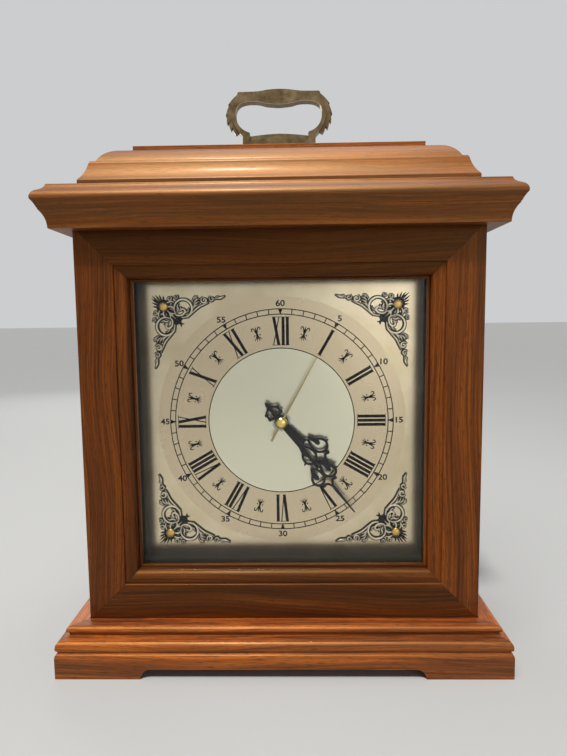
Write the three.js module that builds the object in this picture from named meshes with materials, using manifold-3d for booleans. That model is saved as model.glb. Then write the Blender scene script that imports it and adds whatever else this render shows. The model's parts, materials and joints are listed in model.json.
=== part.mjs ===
// Bracket clock with a quartz chiming movement.
// Millimetres. +X is the clock's right seen from the front, +Y runs back, +Z is up.
// The clock is drawn with its front frame's face at y = 0, its middle at x = 0 and the table
// at z = 0, and the whole group is then shifted back so that its box is centred on the origin.
import * as THREE from 'three';
import { mergeVertices } from 'three/addons/utils/BufferGeometryUtils.js';
import Module from 'manifold-3d';

const wasm = await Module();
wasm.setup();

// ---------------------------------------------------------------- driving dimensions

// Case
const CASE_WIDTH = 254;        // across the front frame and the two sides
const CASE_DEPTH = 118;        // front face to back
const FRAME_HEIGHT = 254;      // the mitred front frame is square
const SIDE_THICK = 12;
const BOARD_THICK = 12;        // base board and top board
const MITRE_GAP = 0.1;         // hairline left between two mitred ends
const SEAT = 0.3;              // clearance where a cut piece meets its neighbour
const RUN = 0.06;              // radial clearance of a running fit
const GRIP = 0.1;              // radial clearance of a hand or knob pushed on its arbor
const PAST = 1;                // how far a cutting shape runs past the faces that it cuts
const SINK = 0.5;              // how far two shapes run into each other where they are joined
const EASE = 0.5;              // small flat between two curves of a moulding

// Front frame, measured inwards from its outer edge and back from its face
const BAND_WIDTH = 24.9;       // flat outer band
const QUIRK = 1.3;             // step beside the band
const OVOLO_WIDTH = 6.9;
const QUIRK_FLAT = 0.4;        // flat at the foot of the quirk, and before the lip
const OVOLO_DROP = 6.4;
const LIP_WIDTH = 1.5;
const LIP_SET_BACK = 0.3;      // lip behind the foot of the ovolo
const LIP_THICK = 3;
const REBATE = 5.3;            // how far the glass rebate reaches behind the lip
const GLASS_THICK = 2;
const GLASS_PLAY = 0.4;        // gap round the glass and the dial
const DIAL_DEPTH = 27;         // front face of the dial behind the frame's face
const DIAL_THICK = 0.8;
const DIAL_BOARD_THICK = 6;
const DIAL_BOARD_LAP = 13;     // how far the backing board laps onto the frame's back
const SPACER_WALL = 3;

// Plinth: projections from the case's side and front, and rises, each from the edge below it
const PLINTH_OUT = 17.65;
const PLINTH_FACE = 13.2;      // height of the upright face
const PLINTH_WALL = 6;         // how far the skirt reaches in under the base board
const GROOVE_RISE = 3.6;       // to the middle of the groove
const GROOVE_OUT = 15.9;
const GROOVE_FLAT = 0.8;
const LOWER_NOSE_OUT = 17.2;
const LOWER_NOSE_RISE = 2.5;
const LOWER_STEP_OUT = 15.2;
const LOWER_STEP_RISE = 4.7;
const UPPER_STEP_OUT = 9.85;
const UPPER_STEP_RISE = 1.5;
const UPPER_NOSE_OUT = 11.65;
const UPPER_NOSE_RISE = 3.8;
const UPPER_NOSE_FACE = 1.2;   // upright part of the upper nose
const PLINTH_TOP_RISE = 2;
const PLINTH_LAP = 1.3;        // how far the plinth stands over the frame's foot
const PLINTH_TOP_OUT = 7.6;    // outer edge of the flat on top
const ARCH_HEIGHT = 6.5;
const FRONT_FOOT = 54.3;       // length of a bracket foot along the front, at the table
const SIDE_FOOT = 38;          // and along the sides
const ARCH_SWEEP = 6.4;        // how far the arch's shaped end leans in

// Cornice: rises, each from the edge below it
const CORNICE_LAP = 2.8;       // how far it hangs over the top of the frame
const CORNICE_FOOT_OUT = 10.6;
const CORNICE_FILLET = 3.4;    // upright fillet at its foot
const CORNICE_COVE_RISE = 8;
const CORNICE_COVE_OUT = 14.6;
const CORNICE_BEAD = 0.7;      // step between the cove and the nose
const CORNICE_NOSE_OUT = 17.75;
const CORNICE_NOSE_RISE = 5.3;
const CORNICE_TOP_OUT = 9.6;
const CORNICE_CROWN_RISE = 9.3;
const CORNICE_INNER = -25;     // inner edge, where the roof stands on it

// Caddy roof
const ROOF_FOOT_OUT = -3.2;
const ROOF_FOOT_RISE = 5.4;
const ROOF_FOOT_BEVEL = 0.8;
const ROOF_COVE_OUT = -9.4;
const ROOF_COVE_RISE = 9.3;
const ROOF_STEP_OUT = -10.4;
const ROOF_STEP_RISE = 2.1;
const ROOF_OVOLO_OUT = -22.8;
const ROOF_OVOLO_RISE = 12;
const ROOF_INNER = -42;
const ROOF_PLATE_OUT = -31;
const ROOF_PLATE_THICK = 4.2;
const ROOF_BACK_THICK = 10;

// Handle: front face outline, then the serrated back half
const HANDLE_DEPTH = 8;
const HANDLE_FRONT = 3;        // thickness of the smooth front half
const LEG_OUTER = 25.3;
const LEG_INNER = 20.2;
const GRIP_CORNER = { x: 28.3, z: 41.8 };      // heights are above the roof plate's top
const GRIP_FLAT_X = 17;
const GRIP_CROWN = 43.7;
const GRIP_UNDER = 33.6;
const GRIP_UNDER_SIDE = 35.9;
const LOOP_WIDEST = { x: 29.9, z: 27.8 };
const NECK = { x: 20.6, z: 15 };
const BAR_FRONT = { side: 9.4, middle: 11.3 };
const BAR_BACK = { side: 13.2, middle: 14.8 };
const HANDLE_SCREW_R = 1.5;
const HANDLE_SCREW_REACH = 7;
const SCREW_HEAD_R = 3;
const SCREW_HEAD_THICK = 2;

// Rear door
const DOOR_THICK = 10;
const DOOR_GAP = 0.8;
const HINGE_LEAF_THICK = 0.9;
const HINGE_LEAF_WIDTH = 9;
const HINGE_LENGTH = 217;
const HINGE_KNUCKLES = 7;
const KNUCKLE_R = 1.9;
const HINGE_PIN_R = 0.9;
const KNUCKLE_GAP = 0.3;
const SLOT_ROWS = 9;           // sound slots through the door
const SLOT_COLUMNS = 2;
const SLOT_LENGTH = 36;
const SLOT_HEIGHT = 3.2;
const SLOT_RISE = 9;           // from one row to the next
const SLOT_STEP = 44;          // from one column to the next
const BUTTON_LENGTH = 17;
const BUTTON_WIDTH = 6.4;
const BUTTON_TIP = 3.8;
const BUTTON_THICK = 2.4;
const BUTTON_PIN_PROUD = 0.8;
const BUTTON_PIN_R = 1.6;
const BUTTON_PIN_LENGTH = 9;

// Spandrels
const SPANDREL_CORNER = 84.6;  // from the dial's centre to the ornament's outer corner
const SPANDREL_ARM = 49.6;
const SPANDREL_THICK = 1.6;
const SCROLL_R = 6.8;
const SCROLL_EYE_R = 4.4;
const SCROLL_PROUD = 0.5;      // how far the scrolls stand over the leaves
const SCROLL_AT = { near: 8.3, far: 20.8 };
const BOSS_R = 3.6;            // round boss in the ornament's outer corner
const BOSS_RISE = 1.4;
const BOSS_AT = 8;

// Hands, measured from the dial's centre along the hand
const MINUTE_LENGTH = 75.5;
const HOUR_LENGTH = 50.3;
const SECOND_LENGTH = 50;
const HAND_TAIL = 17.3;
const SECOND_TAIL = 14;
const SECOND_WIDTH = { tail: 1.8, tip: 0.7 };
const HAND_THICK = 0.8;
const SECOND_THICK = 0.4;
const HOUR_HAND_STAND = 4.2;   // dial face to the hand's back
const MINUTE_HAND_STAND = 6.4;
const SECOND_HAND_STAND = 8.3;
const CAP_R = 4.1;
const CAP_HEIGHT = 2.4;
const SOCKET_R = 1.3;          // tube on the back of the second hand
const SOCKET_LENGTH = 0.8;
const SHOWN_MINUTES = 23.6;    // past four o'clock
const SHOWN_HOURS = 4;
const SHOWN_SECONDS = 4.8;

// Centre stack radii
const BUSH_R = 4;
const HOUR_PIPE_R = 2.5;
const CANNON_PIPE_R = 1.6;
const SECOND_ARBOR_R = 0.6;
const NUT_ACROSS = 12;
const NUT_THICK = 2.2;
const BUSH_PROUD = 3;          // bush end in front of the dial

// Movement housing
const HOUSING_WIDTH = 76;
const HOUSING_ABOVE = 28;      // above the centre arbor
const HOUSING_BELOW = 78;
const HOUSING_DEPTH = 28;
const HOUSING_WALL = 2;
const BAY_WALL_BELOW = 47;     // dividing wall over the battery bay, below the arbor
const BATTERY_R = 13;
const BATTERY_LENGTH = 48;
const BATTERY_CAP_R = 3.5;
const BATTERY_CAP = 2;
const BATTERY_BELOW = 62;
const BAY_RIB_X = 31;
const BAY_RIM = 1;             // rim of the cover round the battery opening
const CONTACT_THICK = 0.6;
const CONTACT_HALF = 7.5;
const CONTACT_DIMPLE_R = 3;
const SPRING_WIRE = 0.45;      // radius of the wire
const SPRING_R = { leaf: 6.5, battery: 3 };
const SPRING_TURNS = 3.5;

// Gear train: distances between arbors, and the direction of each arbor from the one before
const MOTION_DISTANCE = 12;    // centre arbor to minute wheel
const TRAIN_DISTANCE = 10.5;   // centre arbor to third wheel
const STEP_DISTANCE = 8.4;     // centre arbor to intermediate wheel
const ROTOR_DISTANCE = 6.3;    // intermediate wheel to rotor
const MINUTE_WHEEL_ANGLE = 135;
const THIRD_WHEEL_ANGLE = 20;
const INTERMEDIATE_ANGLE = 80;
const ROTOR_ANGLE = 60;
const TEETH = {
  cannon: 10, minuteWheel: 30, minutePinion: 8, hourWheel: 32,
  secondPinion: 6, thirdWheel: 45, thirdPinion: 6, centreWheel: 48,
  secondWheel: 36, intermediatePinion: 6, intermediateWheel: 30, rotorPinion: 6,
};
// Levels behind the housing's floor: [front, back] of each wheel and pinion
const LEVEL = {
  hourWheel: [0.3, 1.8],
  minutePinion: [0.3, 2.1],
  minuteWheel: [2.4, 3.9],
  cannon: [2.1, 4.1],
  cannonHub: [4.1, 6.2],
  centreWheel: [4.5, 5.9],
  thirdPinion: [4.4, 6.1],
  thirdWheel: [6.8, 7.8],
  secondPinion: [6.5, 8.1],
  secondWheel: [8.4, 9.4],
  intermediatePinion: [8.2, 9.6],
  intermediateWheel: [10, 11],
  rotorPinion: [9.8, 11.2],
  magnet: [11.8, 13.8],
  stator: [12.3, 13.3],
};
const FINE_ARBOR_R = 0.45;
const PIVOT_LENGTH = 4;        // arbor inside its bearing boss
const KNOB_ARBOR_R = 1.5;
const CANNON_HUB_R = 2.2;
const MOTOR_POST_R = 1.6;      // post that carries the motor's core, and the pin on its end
const MOTOR_PIN_R = 0.7;
const BOSS_WALL = 1;
const MAGNET_R = 2.8;
const STATOR_EYE_R = 3.3;
const STATOR_OUTER_R = 4.6;
const COIL_LENGTH = 22;
const COIL_R = 3;
const COIL_FLANGE = 0.5;       // how far the spool's ends stand over the winding
const COIL_FLANGE_THICK = 0.7;
const COIL_CORE = { thick: 1, width: 3 };
const COIL_RISE = STATOR_OUTER_R + COIL_R + COIL_FLANGE + SEAT;   // coil axis above the rotor arbor

// Controls on the movement's back
const SETTING_KNOB_R = 9;
const SETTING_KNOB_THICK = 8;
const SETTING_KNOB_RIBS = 16;
const KNOB_RIB_DEPTH = 0.7;
const VOLUME_AT = { x: 24, z: 12 };
const VOLUME_SHAFT_R = 3;
const VOLUME_KNOB_R = 7.5;
const VOLUME_KNOB_THICK = 6;
const POINTER_HALF = 0.5;      // groove that marks the volume knob's position
const POINTER_DEPTH = 1;
const SELECTOR_AT = { x: 20, z: -10 };
const SELECTOR_TRAVEL = 4;     // either way from the middle
const SELECTOR_LEVER = { x: 4, z: 3, proud: 4.5 };
const SELECTOR_FLANGE = { x: 15, z: 7, thick: 1 };
const BOARD = { left: 11.5, right: 35, low: -44, high: 18, thick: 1.6 };
const BOARD_STAND = 3;         // circuit board to the cover
const BOARD_MARGIN = 3;        // standoffs from the board's edges
const STANDOFF_R = 1.5;
const SPEAKER_AT = { x: -13, z: -24 };
const SPEAKER_R = 20;
const SPEAKER_RIM = 1.6;
const SPEAKER_DEPTH = 12;
const SPEAKER_MAGNET_R = 9;
const SPEAKER_MAGNET_THICK = 5;
const SPEAKER_FLANGE = 2.4;
const SPEAKER_SURROUND = 2.6;
const SPEAKER_CONE_DEPTH = 5.2;
const DUST_CAP_R = 5.5;
const DUST_CAP_RISE = 1.6;
const GRILLE_SLOTS = 6;
const GRILLE_PITCH = 5.4;
const GRILLE_SLOT = 2;
const GRILLE_MARGIN = 3;       // slots end this far inside the speaker's edge

const ROUND = 24;              // sides of a large shaft or hole, and of a small one
const FINE_ROUND = 16;
const ROUNDING = 0.55;         // pull of a curve's handles that makes it a quarter round

// ---------------------------------------------------------------- derived places

const HALF = CASE_WIDTH / 2;
const GROOVE_HEIGHT = PLINTH_FACE + GROOVE_RISE;
const LOWER_NOSE_HEIGHT = GROOVE_HEIGHT + LOWER_NOSE_RISE;
const LOWER_STEP_HEIGHT = LOWER_NOSE_HEIGHT + LOWER_STEP_RISE;
const UPPER_STEP_HEIGHT = LOWER_STEP_HEIGHT + UPPER_STEP_RISE;
const UPPER_NOSE_HEIGHT = UPPER_STEP_HEIGHT + UPPER_NOSE_RISE;
const PLINTH_TOP = UPPER_NOSE_HEIGHT + PLINTH_TOP_RISE;
const FRAME_BOTTOM = PLINTH_TOP - PLINTH_LAP;
const FRAME_TOP = FRAME_BOTTOM + FRAME_HEIGHT;
const CORNICE_BOTTOM = FRAME_TOP - CORNICE_LAP;
const CORNICE_COVE_TOP = CORNICE_BOTTOM + CORNICE_FILLET + CORNICE_COVE_RISE;
const CORNICE_NOSE_HEIGHT = CORNICE_COVE_TOP + CORNICE_NOSE_RISE;
const CORNICE_TOP = CORNICE_NOSE_HEIGHT + CORNICE_CROWN_RISE;
const ROOF_FOOT_TOP = CORNICE_TOP + ROOF_FOOT_RISE;
const ROOF_COVE_TOP = ROOF_FOOT_TOP + ROOF_COVE_RISE;
const ROOF_STEP_TOP = ROOF_COVE_TOP + ROOF_STEP_RISE;
const ROOF_TOP = ROOF_STEP_TOP + ROOF_OVOLO_RISE;
const DIAL_Z = (FRAME_BOTTOM + FRAME_TOP) / 2;
const OPENING = BAND_WIDTH + 1.5 * QUIRK_FLAT + OVOLO_WIDTH + LIP_WIDTH;   // edge to the opening
const LIP_FACE = QUIRK + OVOLO_DROP + LIP_SET_BACK;
const GLASS_FACE = LIP_FACE + LIP_THICK;
const REBATE_EDGE = OPENING - REBATE;
const GLASS_HALF = HALF - REBATE_EDGE - GLASS_PLAY;
const FRAME_THICK = DIAL_DEPTH + DIAL_THICK;
const BOARD_HALF = HALF - REBATE_EDGE + DIAL_BOARD_LAP;
const SKIRT_MIDDLE = HALF + (PLINTH_OUT - PLINTH_WALL) / 2;   // middle of a side skirt's thickness
const BASE_TOP = FRAME_BOTTOM;
const BASE_UNDER = FRAME_BOTTOM - BOARD_THICK;
const TOP_BOARD_TOP = FRAME_TOP + BOARD_THICK;
const PLATE_TOP = ROOF_TOP + ROOF_PLATE_THICK;
const HANDLE_Y = (CASE_DEPTH - HANDLE_DEPTH) / 2;
const LEG_MIDDLE = (LEG_OUTER + LEG_INNER) / 2;
const HOUSING_Y = FRAME_THICK + DIAL_BOARD_THICK;
const FLOOR_Y = HOUSING_Y + HOUSING_WALL;
const COVER_Y = HOUSING_Y + HOUSING_DEPTH - HOUSING_WALL;
const HOUSING_BACK = HOUSING_Y + HOUSING_DEPTH;
const KNOB_ARBOR_END = HOUSING_BACK + SETTING_KNOB_THICK - 2 * HOUSING_WALL;
const BATTERY_Y = FLOOR_Y + BATTERY_R + SEAT;
const BATTERY_Z = DIAL_Z - BATTERY_BELOW;
const HINGE_X = HALF - SIDE_THICK - HINGE_LEAF_THICK - DOOR_GAP / 2;
const HINGE_Y = CASE_DEPTH + KNUCKLE_R;
const DOOR_RIGHT = HALF - SIDE_THICK - 2 * HINGE_LEAF_THICK - DOOR_GAP;
const DOOR_LEFT = -(HALF - SIDE_THICK) + DOOR_GAP;
const BUTTON_X = -(HALF - SIDE_THICK / 2);
const FRONT_MOST = -Math.max(PLINTH_OUT, CORNICE_NOSE_OUT);
const BACK_MOST = HINGE_Y + KNUCKLE_R;
const SHIFT_Y = -(FRONT_MOST + BACK_MOST) / 2;

// ---------------------------------------------------------------- materials

const finish = (color, roughness, metalness, more = {}) =>
  () => new THREE.MeshStandardMaterial({ color, roughness, metalness, ...more });
const wood = finish(0x8a4a24, 0.38, 0);
const darkWood = finish(0x4a2a18, 0.7, 0);
const hardboard = finish(0x6b4a32, 0.85, 0);
const clearGlass = finish(0xe8f0ee, 0.04, 0, { transparent: true, opacity: 0.2 });
const dialBrass = finish(0xd8c8a0, 0.25, 1);
const castBrass = finish(0x7c6538, 0.4, 1);
const brass = finish(0xd8b04a, 0.22, 1);
const blackSteel = finish(0x15130f, 0.45, 0.3);
const blackPlastic = finish(0x1c1c1e, 0.5, 0);
const whitePlastic = finish(0xe6e2d6, 0.5, 0);
const steel = finish(0xb8b8b4, 0.3, 1);
const copper = finish(0xa8562c, 0.35, 1);
const boardGreen = finish(0x2f6a3a, 0.5, 0);
const paperGrey = finish(0x33312e, 0.8, 0);
const batteryWrap = finish(0x5a6068, 0.35, 0.3);

// ---------------------------------------------------------------- building blocks

// The same triangles, turned to face outwards if they face in.
function outward(geometry) {
  const at = geometry.attributes.position;
  const index = geometry.index.array;
  const [a, b, c] = [0, 1, 2].map(() => new THREE.Vector3());
  let volume = 0;
  for (let i = 0; i < index.length; i += 3) {
    a.fromBufferAttribute(at, index[i]);
    b.fromBufferAttribute(at, index[i + 1]);
    c.fromBufferAttribute(at, index[i + 2]);
    volume += a.dot(b.cross(c));
  }
  if (volume < 0) geometry.setIndex(Array.from(index).reverse());
  return geometry;
}

// A closed triangle mesh as a solid that can be joined and cut.
function solidOf(geometry) {
  const bare = geometry.clone();
  bare.deleteAttribute('normal');
  bare.deleteAttribute('uv');
  const welded = outward(mergeVertices(bare, 1e-4));
  const index = welded.index.array;
  const corners = [];
  for (let i = 0; i < index.length; i += 3) {
    const [a, b, c] = [index[i], index[i + 1], index[i + 2]];
    if (a !== b && b !== c && c !== a) corners.push(a, b, c);
  }
  const mesh = new wasm.Mesh({
    numProp: 3,
    vertProperties: new Float32Array(welded.attributes.position.array),
    triVerts: new Uint32Array(corners),
  });
  return new wasm.Manifold(mesh);
}

function geometryOf(solid) {
  const mesh = solid.getMesh();
  const geometry = new THREE.BufferGeometry();
  const points = new Float32Array(mesh.numVert * 3);
  for (let i = 0; i < mesh.numVert; i += 1) {
    for (let k = 0; k < 3; k += 1) points[3 * i + k] = mesh.vertProperties[i * mesh.numProp + k];
  }
  geometry.setAttribute('position', new THREE.BufferAttribute(points, 3));
  geometry.setIndex(new THREE.BufferAttribute(new Uint32Array(mesh.triVerts), 1));
  geometry.computeVertexNormals();
  return geometry;
}

const join = (...shapes) => geometryOf(shapes.map(solidOf).reduce((a, b) => a.add(b)));
const cut = (shape, ...tools) => geometryOf(
  tools.map(solidOf).reduce((a, b) => a.subtract(b), solidOf(shape)));

// A box between two corners.
function block(x0, x1, y0, y1, z0, z1) {
  const box = new THREE.BoxGeometry(x1 - x0, y1 - y0, z1 - z0);
  return box.translate((x0 + x1) / 2, (y0 + y1) / 2, (z0 + z1) / 2);
}

// A round bar along y.
function rod(x, z, y0, y1, radius, sides = ROUND) {
  return new THREE.CylinderGeometry(radius, radius, y1 - y0, sides).translate(x, (y0 + y1) / 2, z);
}

// A round bar along z, and one along x.
function post(x, y, z0, z1, radius, sides = ROUND) {
  const bar = new THREE.CylinderGeometry(radius, radius, z1 - z0, sides).rotateX(Math.PI / 2);
  return bar.translate(x, y, (z0 + z1) / 2);
}
function axle(y, z, x0, x1, radius, sides = ROUND) {
  const bar = new THREE.CylinderGeometry(radius, radius, x1 - x0, sides).rotateZ(Math.PI / 2);
  return bar.translate((x0 + x1) / 2, y, z);
}

// An outline in x and z, drawn as a plate from y0 back to y1.
function plate(outline, y0, y1, curveSegments = 8) {
  const shape = outline instanceof THREE.Shape ? outline : new THREE.Shape(outline);
  const slab = new THREE.ExtrudeGeometry(shape, { depth: y1 - y0, bevelEnabled: false, curveSegments });
  return slab.rotateX(Math.PI / 2).translate(0, y1, 0);
}

// A bar of one section whose two ends are placed by functions, so that they can be mitred.
function mitredBar(section, startAt, endAt) {
  const count = section.length;
  const caps = THREE.ShapeUtils.triangulateShape(section, []);
  const points = [...section.map((p) => startAt(p.x, p.y)), ...section.map((p) => endAt(p.x, p.y))];
  const index = [];
  caps.forEach(([a, b, c]) => index.push(a, c, b, a + count, b + count, c + count));
  for (let i = 0; i < count; i += 1) {
    const next = (i + 1) % count;
    index.push(i, next, next + count, i, next + count, i + count);
  }
  const geometry = new THREE.BufferGeometry().setFromPoints(points);
  geometry.setIndex(index);
  outward(geometry).computeVertexNormals();
  return geometry;
}

const clock = new THREE.Group();
clock.name = 'bracket_clock';
clock.position.y = SHIFT_Y;

function add(name, geometry, material, parent = clock) {
  const mesh = new THREE.Mesh(geometry, material());
  mesh.name = name;
  parent.add(mesh);
  return mesh;
}

// ---------------------------------------------------------------- mouldings round the case

// Sections hold (projection, height). The front length is mitred to the two side lengths.
function mouldingSet(section) {
  const half = MITRE_GAP / 2;
  const corner = (side) => (out, height) =>
    new THREE.Vector3(side * (HALF + out - half), -out, height);
  const sideFront = (side) => (out, height) =>
    new THREE.Vector3(side * (HALF + out), -out + half, height);
  const sideBack = (side) => (out, height) =>
    new THREE.Vector3(side * (HALF + out), CASE_DEPTH, height);
  return {
    front: mitredBar(section, corner(-1), corner(1)),
    left: mitredBar(section, sideFront(-1), sideBack(-1)),
    right: mitredBar(section, sideFront(1), sideBack(1)),
  };
}

function plinthSection() {
  const grooveLow = GROOVE_HEIGHT - GROOVE_FLAT / 2;
  const grooveHigh = GROOVE_HEIGHT + GROOVE_FLAT / 2;
  const stepLow = LOWER_STEP_HEIGHT - EASE;
  const path = new THREE.Path();
  path.moveTo(-PLINTH_WALL, 0);
  path.lineTo(PLINTH_OUT, 0);
  path.lineTo(PLINTH_OUT, PLINTH_FACE);
  path.quadraticCurveTo(PLINTH_OUT, grooveLow - EASE, GROOVE_OUT + EASE, grooveLow - EASE / 2);
  path.lineTo(GROOVE_OUT, grooveLow);
  path.lineTo(GROOVE_OUT, grooveHigh);
  path.quadraticCurveTo(LOWER_NOSE_OUT, grooveHigh + EASE, LOWER_NOSE_OUT, LOWER_NOSE_HEIGHT);
  path.quadraticCurveTo(LOWER_NOSE_OUT, stepLow - 2 * EASE, LOWER_STEP_OUT + EASE, stepLow);
  path.lineTo(LOWER_STEP_OUT, stepLow);
  path.lineTo(LOWER_STEP_OUT, LOWER_STEP_HEIGHT);
  path.lineTo(UPPER_STEP_OUT, UPPER_STEP_HEIGHT - EASE);
  path.lineTo(UPPER_STEP_OUT, UPPER_STEP_HEIGHT);
  const noseLow = UPPER_NOSE_HEIGHT - UPPER_NOSE_FACE;
  path.quadraticCurveTo(UPPER_STEP_OUT, noseLow - EASE, UPPER_NOSE_OUT, noseLow);
  path.lineTo(UPPER_NOSE_OUT, UPPER_NOSE_HEIGHT);
  path.quadraticCurveTo(UPPER_NOSE_OUT, PLINTH_TOP, PLINTH_TOP_OUT, PLINTH_TOP);
  path.lineTo(SEAT, PLINTH_TOP);
  path.lineTo(SEAT, BASE_UNDER - SEAT);
  path.lineTo(-PLINTH_WALL, BASE_UNDER - SEAT);
  return path.getPoints(5);
}

// Outline of the arch between two bracket feet, from the end of one to the start of the other.
function archOutline(from, to) {
  const bend = ARCH_SWEEP / 4;
  const arch = new THREE.Shape();
  arch.moveTo(from, -PAST);
  arch.lineTo(from, 0);
  arch.quadraticCurveTo(from + bend, ARCH_HEIGHT, from + ARCH_SWEEP, ARCH_HEIGHT);
  arch.lineTo(to - ARCH_SWEEP, ARCH_HEIGHT);
  arch.quadraticCurveTo(to - bend, ARCH_HEIGHT, to, 0);
  arch.lineTo(to, -PAST);
  return arch;
}

function buildPlinth() {
  const set = mouldingSet(plinthSection());
  const halfArch = HALF + PLINTH_OUT - FRONT_FOOT;
  const frontArch = plate(archOutline(-halfArch, halfArch), -PLINTH_OUT - PAST, PLINTH_WALL + PAST, 5);
  add('plinth_front', cut(set.front, frontArch), wood);
  for (const [name, middle] of [['left', -SKIRT_MIDDLE], ['right', SKIRT_MIDDLE]]) {
    const reach = (PLINTH_OUT + PLINTH_WALL) / 2 + PAST;
    const arch = plate(archOutline(SIDE_FOOT - PLINTH_OUT, CASE_DEPTH - SIDE_FOOT), -reach, reach, 5);
    add(`plinth_${name}`, cut(set[name], arch.rotateZ(Math.PI / 2).translate(middle, 0, 0)), wood);
  }
  add('plinth_back', block(-HALF + PLINTH_WALL + SEAT, HALF - PLINTH_WALL - SEAT,
    CASE_DEPTH - BOARD_THICK, CASE_DEPTH, ARCH_HEIGHT, BASE_UNDER - SEAT), wood);
  add('base_board', block(-HALF, HALF, 0, CASE_DEPTH, BASE_UNDER, BASE_TOP), wood);
}

function corniceSection() {
  const path = new THREE.Path();
  path.moveTo(SEAT, CORNICE_BOTTOM);
  path.lineTo(CORNICE_FOOT_OUT, CORNICE_BOTTOM);
  path.lineTo(CORNICE_FOOT_OUT, CORNICE_BOTTOM + CORNICE_FILLET);
  path.quadraticCurveTo(CORNICE_FOOT_OUT, CORNICE_COVE_TOP - 4 * EASE, CORNICE_COVE_OUT, CORNICE_COVE_TOP);
  path.lineTo(CORNICE_COVE_OUT + CORNICE_BEAD, CORNICE_COVE_TOP);
  path.lineTo(CORNICE_COVE_OUT + CORNICE_BEAD, CORNICE_COVE_TOP + CORNICE_BEAD);
  path.quadraticCurveTo(CORNICE_NOSE_OUT, CORNICE_COVE_TOP + 2 * CORNICE_BEAD,
    CORNICE_NOSE_OUT, CORNICE_NOSE_HEIGHT - EASE);
  path.quadraticCurveTo(CORNICE_NOSE_OUT, CORNICE_TOP - 5 * EASE, CORNICE_TOP_OUT, CORNICE_TOP);
  path.lineTo(CORNICE_INNER, CORNICE_TOP);
  path.lineTo(CORNICE_INNER, TOP_BOARD_TOP);
  path.lineTo(SEAT, TOP_BOARD_TOP);
  return path.getPoints(6);
}

function roofSection() {
  const path = new THREE.Path();
  path.moveTo(ROOF_INNER, CORNICE_TOP);
  path.lineTo(ROOF_FOOT_OUT, CORNICE_TOP);
  path.lineTo(ROOF_FOOT_OUT, ROOF_FOOT_TOP - ROOF_FOOT_BEVEL);
  path.lineTo(ROOF_FOOT_OUT - ROOF_FOOT_BEVEL, ROOF_FOOT_TOP);
  path.quadraticCurveTo(ROOF_COVE_OUT + EASE, ROOF_FOOT_TOP + 3 * EASE, ROOF_COVE_OUT, ROOF_COVE_TOP);
  path.lineTo(ROOF_STEP_OUT, ROOF_COVE_TOP);
  path.lineTo(ROOF_STEP_OUT, ROOF_STEP_TOP);
  path.quadraticCurveTo(ROOF_STEP_OUT - EASE, ROOF_TOP - 6 * EASE, ROOF_OVOLO_OUT, ROOF_TOP);
  path.lineTo(ROOF_INNER, ROOF_TOP);
  return path.getPoints(7);
}

function buildTop() {
  add('top_board', block(-HALF, HALF, 0, CASE_DEPTH, FRAME_TOP, TOP_BOARD_TOP), wood);
  const cornice = mouldingSet(corniceSection());
  const roof = mouldingSet(roofSection());
  for (const part of ['front', 'left', 'right']) {
    add(`cornice_${part}`, cornice[part], wood);
    add(`roof_${part}`, roof[part], wood);
  }
  const lower = HALF + CORNICE_INNER - SEAT;
  const upper = HALF + ROOF_INNER - SEAT;
  const back = [[-lower, TOP_BOARD_TOP], [lower, TOP_BOARD_TOP], [lower, CORNICE_TOP - SEAT],
    [upper, CORNICE_TOP - SEAT], [upper, ROOF_TOP], [-upper, ROOF_TOP],
    [-upper, CORNICE_TOP - SEAT], [-lower, CORNICE_TOP - SEAT]];
  add('roof_back', plate(back.map(([x, z]) => new THREE.Vector2(x, z)),
    CASE_DEPTH - ROOF_BACK_THICK, CASE_DEPTH), wood);
  const half = HALF + ROOF_PLATE_OUT;
  const holes = [-LEG_MIDDLE, LEG_MIDDLE].map((x) =>
    post(x, CASE_DEPTH / 2, ROOF_TOP - PAST, PLATE_TOP + PAST, HANDLE_SCREW_R + SEAT));
  add('roof_plate', cut(block(-half, half, -ROOF_PLATE_OUT, CASE_DEPTH, ROOF_TOP, PLATE_TOP),
    ...holes), wood);
}

function buildSides() {
  for (const [name, side] of [['left', -1], ['right', 1]]) {
    const inner = side * (HALF - SIDE_THICK);
    const outer = side * HALF;
    let panel = block(Math.min(inner, outer), Math.max(inner, outer),
      FRAME_THICK, CASE_DEPTH, BASE_TOP, FRAME_TOP);
    if (side < 0) {
      panel = cut(panel, rod(BUTTON_X, DIAL_Z, CASE_DEPTH - BUTTON_PIN_LENGTH - SEAT,
        CASE_DEPTH + PAST, BUTTON_PIN_R + RUN));
    }
    add(`side_panel_${name}`, panel, wood);
  }
}

// ---------------------------------------------------------------- front frame and dial

// Section of the frame: (distance in from the outer edge, depth behind the face).
function frameSection() {
  const ovoloStart = BAND_WIDTH + QUIRK_FLAT;
  const ovoloEnd = ovoloStart + OVOLO_WIDTH;
  const path = new THREE.Path();
  path.moveTo(0, 0);
  path.lineTo(BAND_WIDTH, 0);
  path.lineTo(BAND_WIDTH, QUIRK);
  path.lineTo(ovoloStart, QUIRK);
  path.bezierCurveTo(ovoloStart + OVOLO_WIDTH * ROUNDING, QUIRK,
    ovoloEnd, QUIRK + OVOLO_DROP * (1 - ROUNDING), ovoloEnd, QUIRK + OVOLO_DROP);
  path.lineTo(OPENING - LIP_WIDTH, LIP_FACE + EASE);
  path.lineTo(OPENING - LIP_WIDTH, LIP_FACE);
  path.lineTo(OPENING, LIP_FACE);
  path.lineTo(OPENING, GLASS_FACE);
  path.lineTo(REBATE_EDGE, GLASS_FACE);
  path.lineTo(REBATE_EDGE, FRAME_THICK);
  path.lineTo(0, FRAME_THICK);
  return path.getPoints(6);
}

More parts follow.
